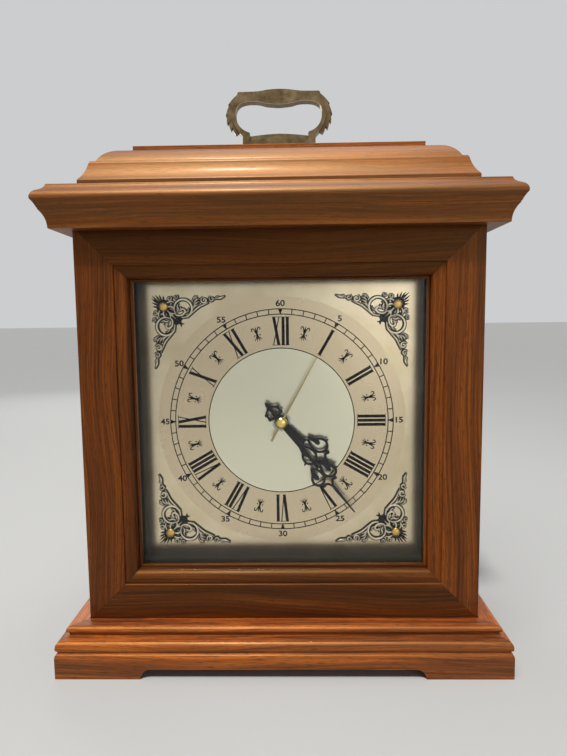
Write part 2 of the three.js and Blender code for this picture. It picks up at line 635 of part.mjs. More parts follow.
function buildFrame() {
  const section = frameSection();
  const gap = MITRE_GAP / 2;
  const at = (x, y, z) => new THREE.Vector3(x, y, z);
  for (const [name, side] of [['left', -1], ['right', 1]]) {
    add(`frame_stile_${name}`, mitredBar(section,
      (q, y) => at(side * (HALF - q), y, FRAME_BOTTOM + q + gap),
      (q, y) => at(side * (HALF - q), y, FRAME_TOP - q - gap)), wood);
  }
  for (const [name, edge, up] of [['bottom', FRAME_BOTTOM, 1], ['top', FRAME_TOP, -1]]) {
    add(`frame_rail_${name}`, mitredBar(section,
      (q, y) => at(-HALF + q + gap, y, edge + up * q),
      (q, y) => at(HALF - q - gap, y, edge + up * q)), wood);
  }
}

function squareRing(outer, inner, y0, y1) {
  return cut(block(-outer, outer, y0, y1, DIAL_Z - outer, DIAL_Z + outer),
    block(-inner, inner, y0 - PAST, y1 + PAST, DIAL_Z - inner, DIAL_Z + inner));
}

function buildDial() {
  const glassBack = GLASS_FACE + GLASS_THICK;
  add('glass_pane', block(-GLASS_HALF, GLASS_HALF, GLASS_FACE, glassBack,
    DIAL_Z - GLASS_HALF, DIAL_Z + GLASS_HALF), clearGlass);
  add('dial_spacer', squareRing(GLASS_HALF, GLASS_HALF - SPACER_WALL, glassBack, DIAL_DEPTH), darkWood);
  const bushHole = rod(0, DIAL_Z, DIAL_DEPTH - PAST, HOUSING_Y + PAST, BUSH_R + SEAT);
  add('dial_plate', cut(block(-GLASS_HALF, GLASS_HALF, DIAL_DEPTH, FRAME_THICK,
    DIAL_Z - GLASS_HALF, DIAL_Z + GLASS_HALF), bushHole), dialBrass);
  add('dial_board', cut(block(-BOARD_HALF, BOARD_HALF, FRAME_THICK, HOUSING_Y,
    DIAL_Z - BOARD_HALF, DIAL_Z + BOARD_HALF), bushHole), hardboard);
  const nut = rod(0, DIAL_Z, DIAL_DEPTH - NUT_THICK, DIAL_DEPTH, NUT_ACROSS / Math.sqrt(3), 6);
  add('dial_nut', cut(nut, rod(0, DIAL_Z, DIAL_DEPTH - NUT_THICK - PAST, DIAL_DEPTH + PAST,
    BUSH_R + RUN)), brass);
}

// One corner ornament, its outer corner at the origin and its arms along +u and +v.
function spandrelOutline() {
  const arm = [
    [0.6, 2.4], [1.6, 5.2], [0.4, 8.2], [1.9, 11.4], [0.7, 14.6], [1.7, 18.2], [1.3, 21.4],
    [2.2, 24.6], [1.4, 28], [2.4, 31.2], [1.2, 34.6], [2, 37.6], [1.1, 40.4], [2.3, 43],
    [1.7, 45.6], [2.4, SPANDREL_ARM], [4.1, 46.4], [4.3, 43.6], [6.3, 41], [5.9, 38.2], [8, 35.4],
    [7.8, 32.4], [10.6, 30.2], [12.2, 27], [15, 23.4], [17, 20.6],
  ];
  const other = arm.map(([u, v]) => [v, u]).reverse();
  return new THREE.Shape([[0.3, 0.3], ...arm, [19.8, 19.8], ...other]
    .map(([u, v]) => new THREE.Vector2(u, v)));
}

function buildSpandrels() {
  const front = DIAL_DEPTH - SPANDREL_THICK;
  const outline = plate(spandrelOutline(), front, DIAL_DEPTH);
  const scrolls = [[SCROLL_AT.near, SCROLL_AT.far], [SCROLL_AT.far, SCROLL_AT.near]];
  const eyes = scrolls.map(([u, v]) =>
    rod(u, v, front - PAST, DIAL_DEPTH + PAST, SCROLL_EYE_R, FINE_ROUND));
  const rims = scrolls.map(([u, v]) =>
    rod(u, v, front - SCROLL_PROUD, DIAL_DEPTH, SCROLL_R, FINE_ROUND));
  const boss = new THREE.SphereGeometry(BOSS_R, 12, 6).scale(1, BOSS_RISE / BOSS_R, 1)
    .translate(BOSS_AT, front, BOSS_AT);
  const ornament = cut(join(outline, ...rims), ...eyes);
  const whole = join(ornament, boss);
  // The same casting in every corner, a quarter turn further each time.
  whole.translate(-SPANDREL_CORNER, 0, -SPANDREL_CORNER);
  ['bottom_left', 'top_left', 'top_right', 'bottom_right'].forEach((name, i) => {
    add(`spandrel_${name}`, whole.clone().rotateY((i * Math.PI) / 2).translate(0, 0, DIAL_Z), castBrass);
  });
}

// ---------------------------------------------------------------- hands

const TURN = 2 * Math.PI;
const MINUTE_ANGLE = (SHOWN_MINUTES / 60) * TURN;
const HOUR_ANGLE = ((SHOWN_HOURS + SHOWN_MINUTES / 60) / 12) * TURN;
const SECOND_ANGLE = (SHOWN_SECONDS / 60) * TURN;

// A hand lies along +z from its own centre; it is turned to its place with its group.
function handGroup(name, geometry, material, angle) {
  const turned = new THREE.Group();
  turned.position.set(0, 0, DIAL_Z);
  turned.rotation.y = angle;
  clock.add(turned);
  add(name, geometry, material, turned);
}

const points = (list) => list.map(([x, z]) => new THREE.Vector2(x, z));
const mirrored = (right) =>
  points([...right, ...right.filter(([x]) => x > 0).map(([x, z]) => [-x, z]).reverse()]);

function piercedHand(spec) {
  const front = DIAL_DEPTH - spec.stand - HAND_THICK;
  const back = DIAL_DEPTH - spec.stand;
  const loops = [-1, 1].flatMap((side) => spec.loops.map((loop) =>
    rod(side * loop.x, loop.z, front, back, loop.r, FINE_ROUND)));
  const eyes = [-1, 1].flatMap((side) => spec.loops.map((loop) =>
    rod(side * loop.x, loop.z, front - PAST, back + PAST, loop.eye, FINE_ROUND)));
  const diamonds = spec.windows.map((outline) => plate(mirrored(outline), front - PAST, back + PAST));
  const body = join(plate(mirrored(spec.outline), front, back),
    rod(0, 0, front, back + spec.hubBack, spec.hub), ...loops);
  const bore = rod(0, 0, front - PAST, back + spec.hubBack + PAST, spec.bore + GRIP);
  return cut(body, ...eyes, ...diamonds, bore);
}

function buildHands() {
  handGroup('minute_hand', piercedHand({
    stand: MINUTE_HAND_STAND, hub: 3.6, hubBack: 0.5, bore: CANNON_PIPE_R,
    outline: [[0, -HAND_TAIL], [1.1, -14], [1.6, -12.4], [4.2, -11], [5.6, -9.2], [4, -7.4],
      [5.2, -5.6], [3.6, -4.4], [1.6, -3], [1.5, 4], [1.3, 20], [1.1, 34], [2.4, 36],
      [2.6, 40], [1.2, 44], [2.6, 47.4], [3, 50.6], [1.4, 54], [0.8, 57], [0.45, MINUTE_LENGTH]],
    loops: [{ x: 4.3, z: 43.7, r: 4, eye: 2.9 }],
    windows: [[[0, 47], [1.5, 49], [0, 53]], [[0, 36.6], [1.2, 39], [0, 42]]],
  }), blackSteel, MINUTE_ANGLE);
  handGroup('hour_hand', piercedHand({
    stand: HOUR_HAND_STAND, hub: 4.6, hubBack: 0.4, bore: HOUR_PIPE_R,
    outline: [[0, -4.4], [2.2, -3.4], [2.2, 4], [1.9, 20], [3.4, 22.4], [4.4, 26], [2, 30],
      [4.4, 33], [4.2, 36.4], [1.9, 38.6], [1.5, 42], [2.7, 45], [1.4, 47], [0.3, HOUR_LENGTH]],
    loops: [{ x: 6.4, z: 29.5, r: 4.8, eye: 3.6 }],
    windows: [[[0, 31.6], [1.9, 33], [2.3, 35.2], [0, 35.9]], [[0, 22.6], [1.9, 24.6], [0, 28.6]]],
  }), blackSteel, HOUR_ANGLE);
  const back = DIAL_DEPTH - SECOND_HAND_STAND;
  const front = back - SECOND_THICK;
  const blade = plate(mirrored([[0, -SECOND_TAIL], [SECOND_WIDTH.tail / 2, -SECOND_TAIL],
    [SECOND_WIDTH.tip / 2, SECOND_LENGTH]]), front, back);
  const socket = rod(0, 0, front, back + SOCKET_LENGTH, SOCKET_R, FINE_ROUND);
  const bore = rod(0, 0, front, back + SOCKET_LENGTH + PAST, SECOND_ARBOR_R + GRIP, FINE_ROUND);
  handGroup('second_hand', cut(join(blade, domedCap(front), socket), bore), brass, SECOND_ANGLE);
}

// The domed cap as a closed turned solid, its flat back at y.
function domedCap(y) {
  const profile = [new THREE.Vector2(0, 0), new THREE.Vector2(CAP_R, 0)];
  const steps = 6;
  for (let i = 1; i < steps; i += 1) {
    const a = (i / steps) * (Math.PI / 2);
    profile.push(new THREE.Vector2(CAP_R * Math.cos(a), CAP_HEIGHT * Math.sin(a)));
  }
  profile.push(new THREE.Vector2(0, CAP_HEIGHT));
  return new THREE.LatheGeometry(profile, ROUND).rotateX(Math.PI).translate(0, y, 0);
}

// ---------------------------------------------------------------- gears

const radians = (degrees) => (degrees * Math.PI) / 180;
const along = (degrees, distance) =>
  ({ x: distance * Math.cos(radians(degrees)), z: distance * Math.sin(radians(degrees)) });
const toothSize = (distance, a, b) => (2 * distance) / (a + b);

const TOOTH = { root: 0.27, tip: 0.1, rise: 0.85, fall: 1.05 };   // shares of a pitch, and modules

// A toothed disc with the middle of one tooth, or of one gap, pointing along an angle in degrees.
function gear(teeth, mod, at, level, facing, gap = false) {
  const pitch = TURN / teeth;
  const start = radians(facing) + (gap ? pitch / 2 : 0);
  const tip = (teeth * mod) / 2 + TOOTH.rise * mod;
  const root = (teeth * mod) / 2 - TOOTH.fall * mod;
  const outline = [];
  for (let i = 0; i < teeth; i += 1) {
    const middle = start + i * pitch;
    const corners = [[root, -TOOTH.root], [tip, -TOOTH.tip], [tip, TOOTH.tip], [root, TOOTH.root]];
    for (const [radius, share] of corners) {
      const a = middle + share * pitch;
      outline.push(new THREE.Vector2(radius * Math.cos(a), radius * Math.sin(a)));
    }
  }
  const [front, back] = level;
  return plate(outline, FLOOR_Y + front, FLOOR_Y + back).translate(at.x, 0, at.z + DIAL_Z);
}

const CENTRE = { x: 0, z: 0 };
const MINUTE_AXIS = along(MINUTE_WHEEL_ANGLE, MOTION_DISTANCE);
const THIRD_AXIS = along(THIRD_WHEEL_ANGLE, TRAIN_DISTANCE);
const STEP_AXIS = along(INTERMEDIATE_ANGLE, STEP_DISTANCE);
const ROTOR_AXIS = {
  x: STEP_AXIS.x + along(ROTOR_ANGLE, ROTOR_DISTANCE).x,
  z: STEP_AXIS.z + along(ROTOR_ANGLE, ROTOR_DISTANCE).z,
};

const MOTOR_POST = {
  x: ROTOR_AXIS.x + COIL_LENGTH / 2 + COIL_CORE.width / 2,
  z: ROTOR_AXIS.z + COIL_RISE,
};

// An arbor or bush at one of the train's axes, between two levels behind the floor.
const arbor = (at, from, to, radius, sides = FINE_ROUND) =>
  rod(at.x, at.z + DIAL_Z, FLOOR_Y + from, FLOOR_Y + to, radius, sides);
const COVER_LEVEL = COVER_Y - FLOOR_Y;

function buildTrain() {
  const T = TEETH;
  const motion = toothSize(MOTION_DISTANCE, T.cannon, T.minuteWheel);
  const pinionMotion = toothSize(MOTION_DISTANCE, T.minutePinion, T.hourWheel);
  const slow = toothSize(TRAIN_DISTANCE, T.secondPinion, T.thirdWheel);
  const slower = toothSize(TRAIN_DISTANCE, T.thirdPinion, T.centreWheel);
  const step = toothSize(STEP_DISTANCE, T.intermediatePinion, T.secondWheel);
  const fast = toothSize(ROTOR_DISTANCE, T.rotorPinion, T.intermediateWheel);
  const toFront = (y) => y - FLOOR_Y;
  const hourEnd = toFront(DIAL_DEPTH - HOUR_HAND_STAND - HAND_THICK);
  const cannonEnd = toFront(DIAL_DEPTH - MINUTE_HAND_STAND - HAND_THICK);
  const secondEnd = toFront(DIAL_DEPTH - SECOND_HAND_STAND);

  const hourPipe = arbor(CENTRE, hourEnd, LEVEL.hourWheel[0], HOUR_PIPE_R, ROUND);
  const hourBore = arbor(CENTRE, hourEnd - PAST, LEVEL.hourWheel[1] + PAST, CANNON_PIPE_R + RUN, ROUND);
  add('hour_wheel', cut(join(gear(T.hourWheel, pinionMotion, CENTRE, LEVEL.hourWheel,
    MINUTE_WHEEL_ANGLE), hourPipe), hourBore), whitePlastic);

  add('minute_wheel', join(
    gear(T.minutePinion, pinionMotion, MINUTE_AXIS, LEVEL.minutePinion, MINUTE_WHEEL_ANGLE + 180, true),
    gear(T.minuteWheel, motion, MINUTE_AXIS, LEVEL.minuteWheel, MINUTE_WHEEL_ANGLE + 180, true),
    arbor(MINUTE_AXIS, LEVEL.minutePinion[0], toFront(KNOB_ARBOR_END), KNOB_ARBOR_R)), whitePlastic);

  const cannon = join(
    gear(T.cannon, motion, CENTRE, LEVEL.cannon, MINUTE_WHEEL_ANGLE),
    arbor(CENTRE, cannonEnd, LEVEL.cannon[0], CANNON_PIPE_R, ROUND),
    arbor(CENTRE, LEVEL.cannonHub[0], LEVEL.cannonHub[1], CANNON_HUB_R, ROUND));
  add('cannon_pinion', cut(cannon, arbor(CENTRE, cannonEnd - PAST, LEVEL.cannonHub[1] + PAST,
    SECOND_ARBOR_R + RUN)), brass);

  add('centre_wheel', cut(gear(T.centreWheel, slower, CENTRE, LEVEL.centreWheel, THIRD_WHEEL_ANGLE),
    arbor(CENTRE, LEVEL.centreWheel[0] - PAST, LEVEL.centreWheel[1] + PAST, CANNON_HUB_R + RUN, ROUND)),
  whitePlastic);

  add('third_wheel', join(
    gear(T.thirdPinion, slower, THIRD_AXIS, LEVEL.thirdPinion, THIRD_WHEEL_ANGLE + 180, true),
    gear(T.thirdWheel, slow, THIRD_AXIS, LEVEL.thirdWheel, THIRD_WHEEL_ANGLE + 180, true),
    arbor(THIRD_AXIS, LEVEL.thirdPinion[0], LEVEL.thirdWheel[1] + SEAT + PIVOT_LENGTH, FINE_ARBOR_R)),
  whitePlastic);

  add('second_wheel', join(
    gear(T.secondPinion, slow, CENTRE, LEVEL.secondPinion, THIRD_WHEEL_ANGLE),
    gear(T.secondWheel, step, CENTRE, LEVEL.secondWheel, INTERMEDIATE_ANGLE),
    arbor(CENTRE, secondEnd, LEVEL.secondWheel[1], SECOND_ARBOR_R)), whitePlastic);

  add('intermediate_wheel', join(
    gear(T.intermediatePinion, step, STEP_AXIS, LEVEL.intermediatePinion, INTERMEDIATE_ANGLE + 180, true),
    gear(T.intermediateWheel, fast, STEP_AXIS, LEVEL.intermediateWheel, ROTOR_ANGLE),
    arbor(STEP_AXIS, LEVEL.intermediatePinion[0],
      LEVEL.intermediateWheel[1] + SEAT + PIVOT_LENGTH, FINE_ARBOR_R)), whitePlastic);

  add('rotor', join(
    gear(T.rotorPinion, fast, ROTOR_AXIS, LEVEL.rotorPinion, ROTOR_ANGLE + 180, true),
    arbor(ROTOR_AXIS, LEVEL.magnet[0], LEVEL.magnet[1], MAGNET_R),
    arbor(ROTOR_AXIS, LEVEL.rotorPinion[0], LEVEL.magnet[1] + SEAT + PIVOT_LENGTH, FINE_ARBOR_R)),
  steel);
}

// ---------------------------------------------------------------- motor

function buildMotor() {
  const [front, back] = LEVEL.stator;
  const { x, z } = ROTOR_AXIS;
  const half = COIL_LENGTH / 2;
  const outer = half + COIL_CORE.width;
  const bar = COIL_CORE.width / 2;
  // A flat bar of the iron core, between two corners measured from the rotor's arbor.
  const iron = (x0, x1, z0, z1) =>
    block(x + x0, x + x1, FLOOR_Y + front, FLOOR_Y + back, DIAL_Z + z + z0, DIAL_Z + z + z1);
  const core = join(arbor(ROTOR_AXIS, front, back, STATOR_OUTER_R), iron(-outer, outer, -bar, bar),
    iron(-outer, -half, -bar, COIL_RISE + bar), iron(half, outer, -bar, COIL_RISE + bar),
    iron(-outer, outer, COIL_RISE - bar, COIL_RISE + bar));
  add('stator', cut(core, arbor(ROTOR_AXIS, front - PAST, back + PAST, STATOR_EYE_R),
    arbor(MOTOR_POST, front - PAST, back + PAST, MOTOR_PIN_R + GRIP)), steel);

  const y = FLOOR_Y + (front + back) / 2;
  const coilZ = DIAL_Z + z + COIL_RISE;
  const wound = half - SEAT - COIL_FLANGE_THICK;
  const turned = (x0, x1, radius) => axle(y, coilZ, x + x0, x + x1, radius, ROUND);
  const spool = join(turned(-half + SEAT, half - SEAT, COIL_R - SINK), turned(-wound, wound, COIL_R),
    turned(-half + SEAT, -wound, COIL_R + COIL_FLANGE), turned(wound, half - SEAT, COIL_R + COIL_FLANGE));
  const slotHalf = { y: COIL_CORE.thick / 2 + GRIP, z: COIL_CORE.width / 2 + GRIP };
  const slot = block(x - half, x + half, y - slotHalf.y, y + slotHalf.y,
    coilZ - slotHalf.z, coilZ + slotHalf.z);
  add('coil', cut(spool, slot), copper);
}

// ---------------------------------------------------------------- movement housing

const HOUSING = {
  half: HOUSING_WIDTH / 2,
  low: DIAL_Z - HOUSING_BELOW,
  high: DIAL_Z + HOUSING_ABOVE,
  bayTop: DIAL_Z - BAY_WALL_BELOW,
};

function buildTray() {
  const { half, low, high, bayTop } = HOUSING;
  const wall = HOUSING_WALL;
  const tray = cut(block(-half, half, HOUSING_Y, COVER_Y, low, high),
    block(-half + wall, half - wall, FLOOR_Y, COVER_Y + PAST, low + wall, high - wall));
  const divider = block(-half + SINK, half - SINK, FLOOR_Y - SINK, COVER_Y, bayTop - wall, bayTop);
  const rib = (x) => block(x, x + wall, FLOOR_Y - SINK, COVER_Y, low + SINK, bayTop - SINK);
  const bushEnd = DIAL_DEPTH - BUSH_PROUD;
  const bush = rod(0, DIAL_Z, bushEnd, HOUSING_Y + SINK, BUSH_R);
  add('movement_front', cut(join(tray, divider, rib(BAY_RIB_X), rib(-BAY_RIB_X - wall), bush),
    rod(0, DIAL_Z, bushEnd - PAST, FLOOR_Y + PAST, HOUR_PIPE_R + RUN)), blackPlastic);
}

function grilleSlots() {
  const slots = [];
  for (let i = 0; i < GRILLE_SLOTS; i += 1) {
    const rise = (i - (GRILLE_SLOTS - 1) / 2) * GRILLE_PITCH;
    const reach = Math.sqrt((SPEAKER_R - GRILLE_MARGIN) ** 2 - rise ** 2);
    const z = DIAL_Z + SPEAKER_AT.z + rise;
    slots.push(block(SPEAKER_AT.x - reach, SPEAKER_AT.x + reach, COVER_Y - PAST, HOUSING_BACK + PAST,
      z - GRILLE_SLOT / 2, z + GRILLE_SLOT / 2));
  }
  return slots;
}

// Blind bearing bosses on the cover for the arbors that don't pass through it.
function bearingBosses() {
  const wheels = [[THIRD_AXIS, LEVEL.thirdWheel], [STEP_AXIS, LEVEL.intermediateWheel],
    [ROTOR_AXIS, LEVEL.magnet]];
  const radius = FINE_ARBOR_R + RUN;
  return {
    bosses: wheels.map(([at, level]) =>
      arbor(at, level[1] + SEAT, COVER_LEVEL + SINK, radius + BOSS_WALL)),
    bores: wheels.map(([at, level]) => arbor(at, level[1], level[1] + 2 * SEAT + PIVOT_LENGTH, radius)),
  };
}

function buildCover() {
  const { half, low, high, bayTop } = HOUSING;
  const wall = HOUSING_WALL;
  const through = (x0, x1, z0, z1) => block(x0, x1, COVER_Y - PAST, HOUSING_BACK + PAST, z0, z1);
  const { bosses, bores } = bearingBosses();
  const motorPost = join(arbor(MOTOR_POST, LEVEL.stator[1], COVER_LEVEL + SINK, MOTOR_POST_R),
    arbor(MOTOR_POST, LEVEL.stator[0], COVER_LEVEL, MOTOR_PIN_R));
  const standoffs = [BOARD.left + BOARD_MARGIN, BOARD.right - BOARD_MARGIN].flatMap((x) =>
    [BOARD.low + BOARD_MARGIN, BOARD.high - BOARD_MARGIN].map((z) =>
      rod(x, DIAL_Z + z, COVER_Y - BOARD_STAND, COVER_Y + SINK, STANDOFF_R, FINE_ROUND)));
  const selector = {
    x: SELECTOR_LEVER.x / 2 + SELECTOR_TRAVEL + SEAT,
    z: SELECTOR_LEVER.z / 2 + SEAT,
    middle: DIAL_Z + SELECTOR_AT.z,
  };
  const bay = { x: BAY_RIB_X - BAY_RIM, low: low + wall + BAY_RIM, high: bayTop - wall - BAY_RIM };
  const body = join(block(-half, half, COVER_Y, HOUSING_BACK, low, high), ...bosses, ...standoffs, motorPost);
  add('movement_back', cut(body, ...bores, ...grilleSlots(),
    arbor(MINUTE_AXIS, COVER_LEVEL - PAST, COVER_LEVEL + wall + PAST, KNOB_ARBOR_R + RUN),
    rod(VOLUME_AT.x, DIAL_Z + VOLUME_AT.z, COVER_Y - PAST, HOUSING_BACK + PAST, VOLUME_SHAFT_R + RUN),
    through(SELECTOR_AT.x - selector.x, SELECTOR_AT.x + selector.x,
      selector.middle - selector.z, selector.middle + selector.z),
    through(-bay.x, bay.x, bay.low, bay.high)), blackPlastic);
}

// Open coil that starts against its leaf and tapers towards the battery.
class ContactSpring extends THREE.Curve {
  getPoint(t, target = new THREE.Vector3()) {
    const a = t * SPRING_TURNS * TURN;
    const radius = SPRING_R.leaf + (SPRING_R.battery - SPRING_R.leaf) * t;
    const from = -BAY_RIB_X + CONTACT_THICK + SPRING_WIRE / 2;
    const to = -BATTERY_LENGTH / 2 - SEAT - SPRING_WIRE;
    return target.set(from + (to - from) * t,
      BATTERY_Y + radius * Math.cos(a), BATTERY_Z + radius * Math.sin(a));
  }
}

function buildBattery() {
  const half = BATTERY_LENGTH / 2;
  add('battery', join(axle(BATTERY_Y, BATTERY_Z, -half, half, BATTERY_R),
    axle(BATTERY_Y, BATTERY_Z, half - SINK, half + BATTERY_CAP, BATTERY_CAP_R)), batteryWrap);
  const leaf = (x) => block(x, x + CONTACT_THICK, BATTERY_Y - CONTACT_HALF, BATTERY_Y + CONTACT_HALF,
    BATTERY_Z - CONTACT_HALF, BATTERY_Z + CONTACT_HALF);
  const leafFace = BAY_RIB_X - CONTACT_THICK;
  add('contact_plus', join(leaf(leafFace), axle(BATTERY_Y, BATTERY_Z, half + BATTERY_CAP + SEAT,
    leafFace + CONTACT_THICK / 2, CONTACT_DIMPLE_R, FINE_ROUND)), brass);
  const section = new THREE.Shape(Array.from({ length: 5 }, (_, i) => new THREE.Vector2(
    SPRING_WIRE * Math.cos((i / 5) * TURN), SPRING_WIRE * Math.sin((i / 5) * TURN))));
  const wire = new THREE.ExtrudeGeometry(section, {
    steps: Math.round(SPRING_TURNS * 8), extrudePath: new ContactSpring(), bevelEnabled: false,
  });
  add('contact_minus', join(leaf(-BAY_RIB_X), wire), brass);
}

function buildBoard() {
  const back = COVER_Y - BOARD_STAND;
  add('circuit_board', block(BOARD.left, BOARD.right, back - BOARD.thick, back,
    DIAL_Z + BOARD.low, DIAL_Z + BOARD.high), boardGreen);
}

function buildKnobs() {
  const grip = new THREE.Shape(Array.from({ length: 2 * SETTING_KNOB_RIBS }, (_, i) => {
    const a = (i / (2 * SETTING_KNOB_RIBS)) * TURN;
    const radius = SETTING_KNOB_R - (i % 2) * KNOB_RIB_DEPTH;
    return new THREE.Vector2(radius * Math.cos(a), radius * Math.sin(a));
  }));
  const front = HOUSING_BACK + SEAT;
  const { x, z } = MINUTE_AXIS;
  const knob = plate(grip, front, front + SETTING_KNOB_THICK).translate(x, 0, z + DIAL_Z);
  add('setting_knob', cut(knob, rod(x, z + DIAL_Z, front - PAST, KNOB_ARBOR_END + SEAT,
    KNOB_ARBOR_R + GRIP, FINE_ROUND)), blackPlastic);

  const volumeZ = DIAL_Z + VOLUME_AT.z;
  const volumeBack = front + VOLUME_KNOB_THICK;
  const pointer = block(VOLUME_AT.x - POINTER_HALF, VOLUME_AT.x + POINTER_HALF,
    volumeBack - POINTER_DEPTH, volumeBack + PAST, volumeZ, volumeZ + VOLUME_KNOB_R + PAST);
  add('volume_knob', cut(join(
    rod(VOLUME_AT.x, volumeZ, COVER_Y - BOARD_STAND + SEAT, front + SINK, VOLUME_SHAFT_R),
    rod(VOLUME_AT.x, volumeZ, front, volumeBack, VOLUME_KNOB_R)), pointer), blackPlastic);
}

function buildSelector() {
  const z = DIAL_Z + SELECTOR_AT.z;
  const flangeBack = COVER_Y - SEAT;
  const flangeFront = flangeBack - SELECTOR_FLANGE.thick;
  const part = ({ x: wide, z: high }, y1) => block(SELECTOR_AT.x - wide / 2, SELECTOR_AT.x + wide / 2,
    flangeFront, y1, z - high / 2, z + high / 2);
  add('chime_selector', join(part(SELECTOR_LEVER, HOUSING_BACK + SELECTOR_LEVER.proud),
    part(SELECTOR_FLANGE, flangeBack)), whitePlastic);
}

function buildSpeaker() {
  const back = COVER_Y - SEAT;
  const front = back - SPEAKER_DEPTH;
  const at = (radius, y) => new THREE.Vector2(radius, y);
  // Turned section of the basket, the cone and the dust cap, from the magnet at the front.
  const inner = SPEAKER_R - SPEAKER_RIM;
  const profile = [
    at(0, front), at(SPEAKER_MAGNET_R, front), at(SPEAKER_MAGNET_R, front + SPEAKER_MAGNET_THICK),
    at(inner, back - SPEAKER_FLANGE), at(SPEAKER_R, back - SPEAKER_FLANGE), at(SPEAKER_R, back),
    at(inner, back), at(inner - SPEAKER_SURROUND / 2, back - SPEAKER_FLANGE / 2),
    at(inner - SPEAKER_SURROUND, back - SPEAKER_FLANGE / 2), at(DUST_CAP_R, back - SPEAKER_CONE_DEPTH),
    at(DUST_CAP_R * Math.cos(Math.PI / 4), back - SPEAKER_CONE_DEPTH + DUST_CAP_RISE * Math.sin(Math.PI / 4)),
    at(0, back - SPEAKER_CONE_DEPTH + DUST_CAP_RISE),
  ];
  add('speaker', new THREE.LatheGeometry(profile, ROUND).translate(SPEAKER_AT.x, 0,
    DIAL_Z + SPEAKER_AT.z), paperGrey);
}

// ---------------------------------------------------------------- handle

const shifted = (list) => list.map(([x, z]) => new THREE.Vector2(x, z + PLATE_TOP));

// Loop between the handle's legs, down to the top of its foot bar.
function handleLoop(bar) {
  const side = [
    [GRIP_FLAT_X, GRIP_UNDER_SIDE], [22.1, GRIP_UNDER_SIDE], [26.6, 34.5], [28.9, 31.7],
    [LOOP_WIDEST.x, LOOP_WIDEST.z], [29.5, 23.8], [28.3, 21.1], [25.9, 17.8], [22.5, 15.8],
    [NECK.x, NECK.z], [LEG_INNER, NECK.z - 1.2], [LEG_INNER, bar.side],
  ];
  const top = [[0, GRIP_UNDER], [9.5, GRIP_UNDER + 0.9], ...side, [LEG_INNER / 2, bar.middle - 0.5]];
  return shifted([...top, [0, bar.middle], ...top.slice(1).map(([x, z]) => [-x, z]).reverse()]);
}

function buildHandle() {
  const crown = [[0, GRIP_CROWN], [9, GRIP_CROWN - 0.6], [18, GRIP_CORNER.z + 0.3],
    [GRIP_CORNER.x, GRIP_CORNER.z]];
  const smooth = [[30.8, 35.2], [32.2, 30.3], [33, 27.8], [32.6, 23.9], [31.3, 20.6], [27.8, 15]];
  // Five leaf points down each side, every one a bulge out and a notch back in.
  const leaves = [[32.4, 38.5], [35.3, 35.2], [33.6, 36], [35.8, 31.6], [37.1, 28], [35.4, 29],
    [36.5, 25.4], [36.1, 22.6], [34.6, 24.1], [35.1, 20.6], [33.6, 18.5], [32.1, 20],
    [32.2, 17], [30.5, 15.5], [28.3, 16.2]];
  const legs = [[LEG_OUTER, 12.2], [LEG_OUTER, 0]];
  const outline = (edge) => {
    const right = [...crown, ...edge, ...legs];
    return shifted([...right, ...right.slice(1).map(([x, z]) => [-x, z]).reverse()]);
  };
  const middle = HANDLE_Y + HANDLE_FRONT;
  const back = HANDLE_Y + HANDLE_DEPTH;
  const half = (edge, bar, y0, y1) =>
    cut(plate(outline(edge), y0, y1), plate(handleLoop(bar), y0 - PAST, y1 + PAST));
  const holes = [-LEG_MIDDLE, LEG_MIDDLE].map((x) => post(x, CASE_DEPTH / 2,
    PLATE_TOP - PAST, PLATE_TOP + HANDLE_SCREW_REACH + SEAT, HANDLE_SCREW_R + RUN, FINE_ROUND));
  add('handle', cut(join(half(smooth, BAR_FRONT, HANDLE_Y, middle),
    half(leaves, BAR_BACK, middle, back)), ...holes), castBrass);
  for (const [name, x] of [['left', -LEG_MIDDLE], ['right', LEG_MIDDLE]]) {
    add(`handle_screw_${name}`, join(
      post(x, CASE_DEPTH / 2, ROOF_TOP - SINK, PLATE_TOP + HANDLE_SCREW_REACH, HANDLE_SCREW_R, FINE_ROUND),
      post(x, CASE_DEPTH / 2, ROOF_TOP - SCREW_HEAD_THICK, ROOF_TOP, SCREW_HEAD_R, FINE_ROUND)), steel);
  }
}

// ---------------------------------------------------------------- rear door

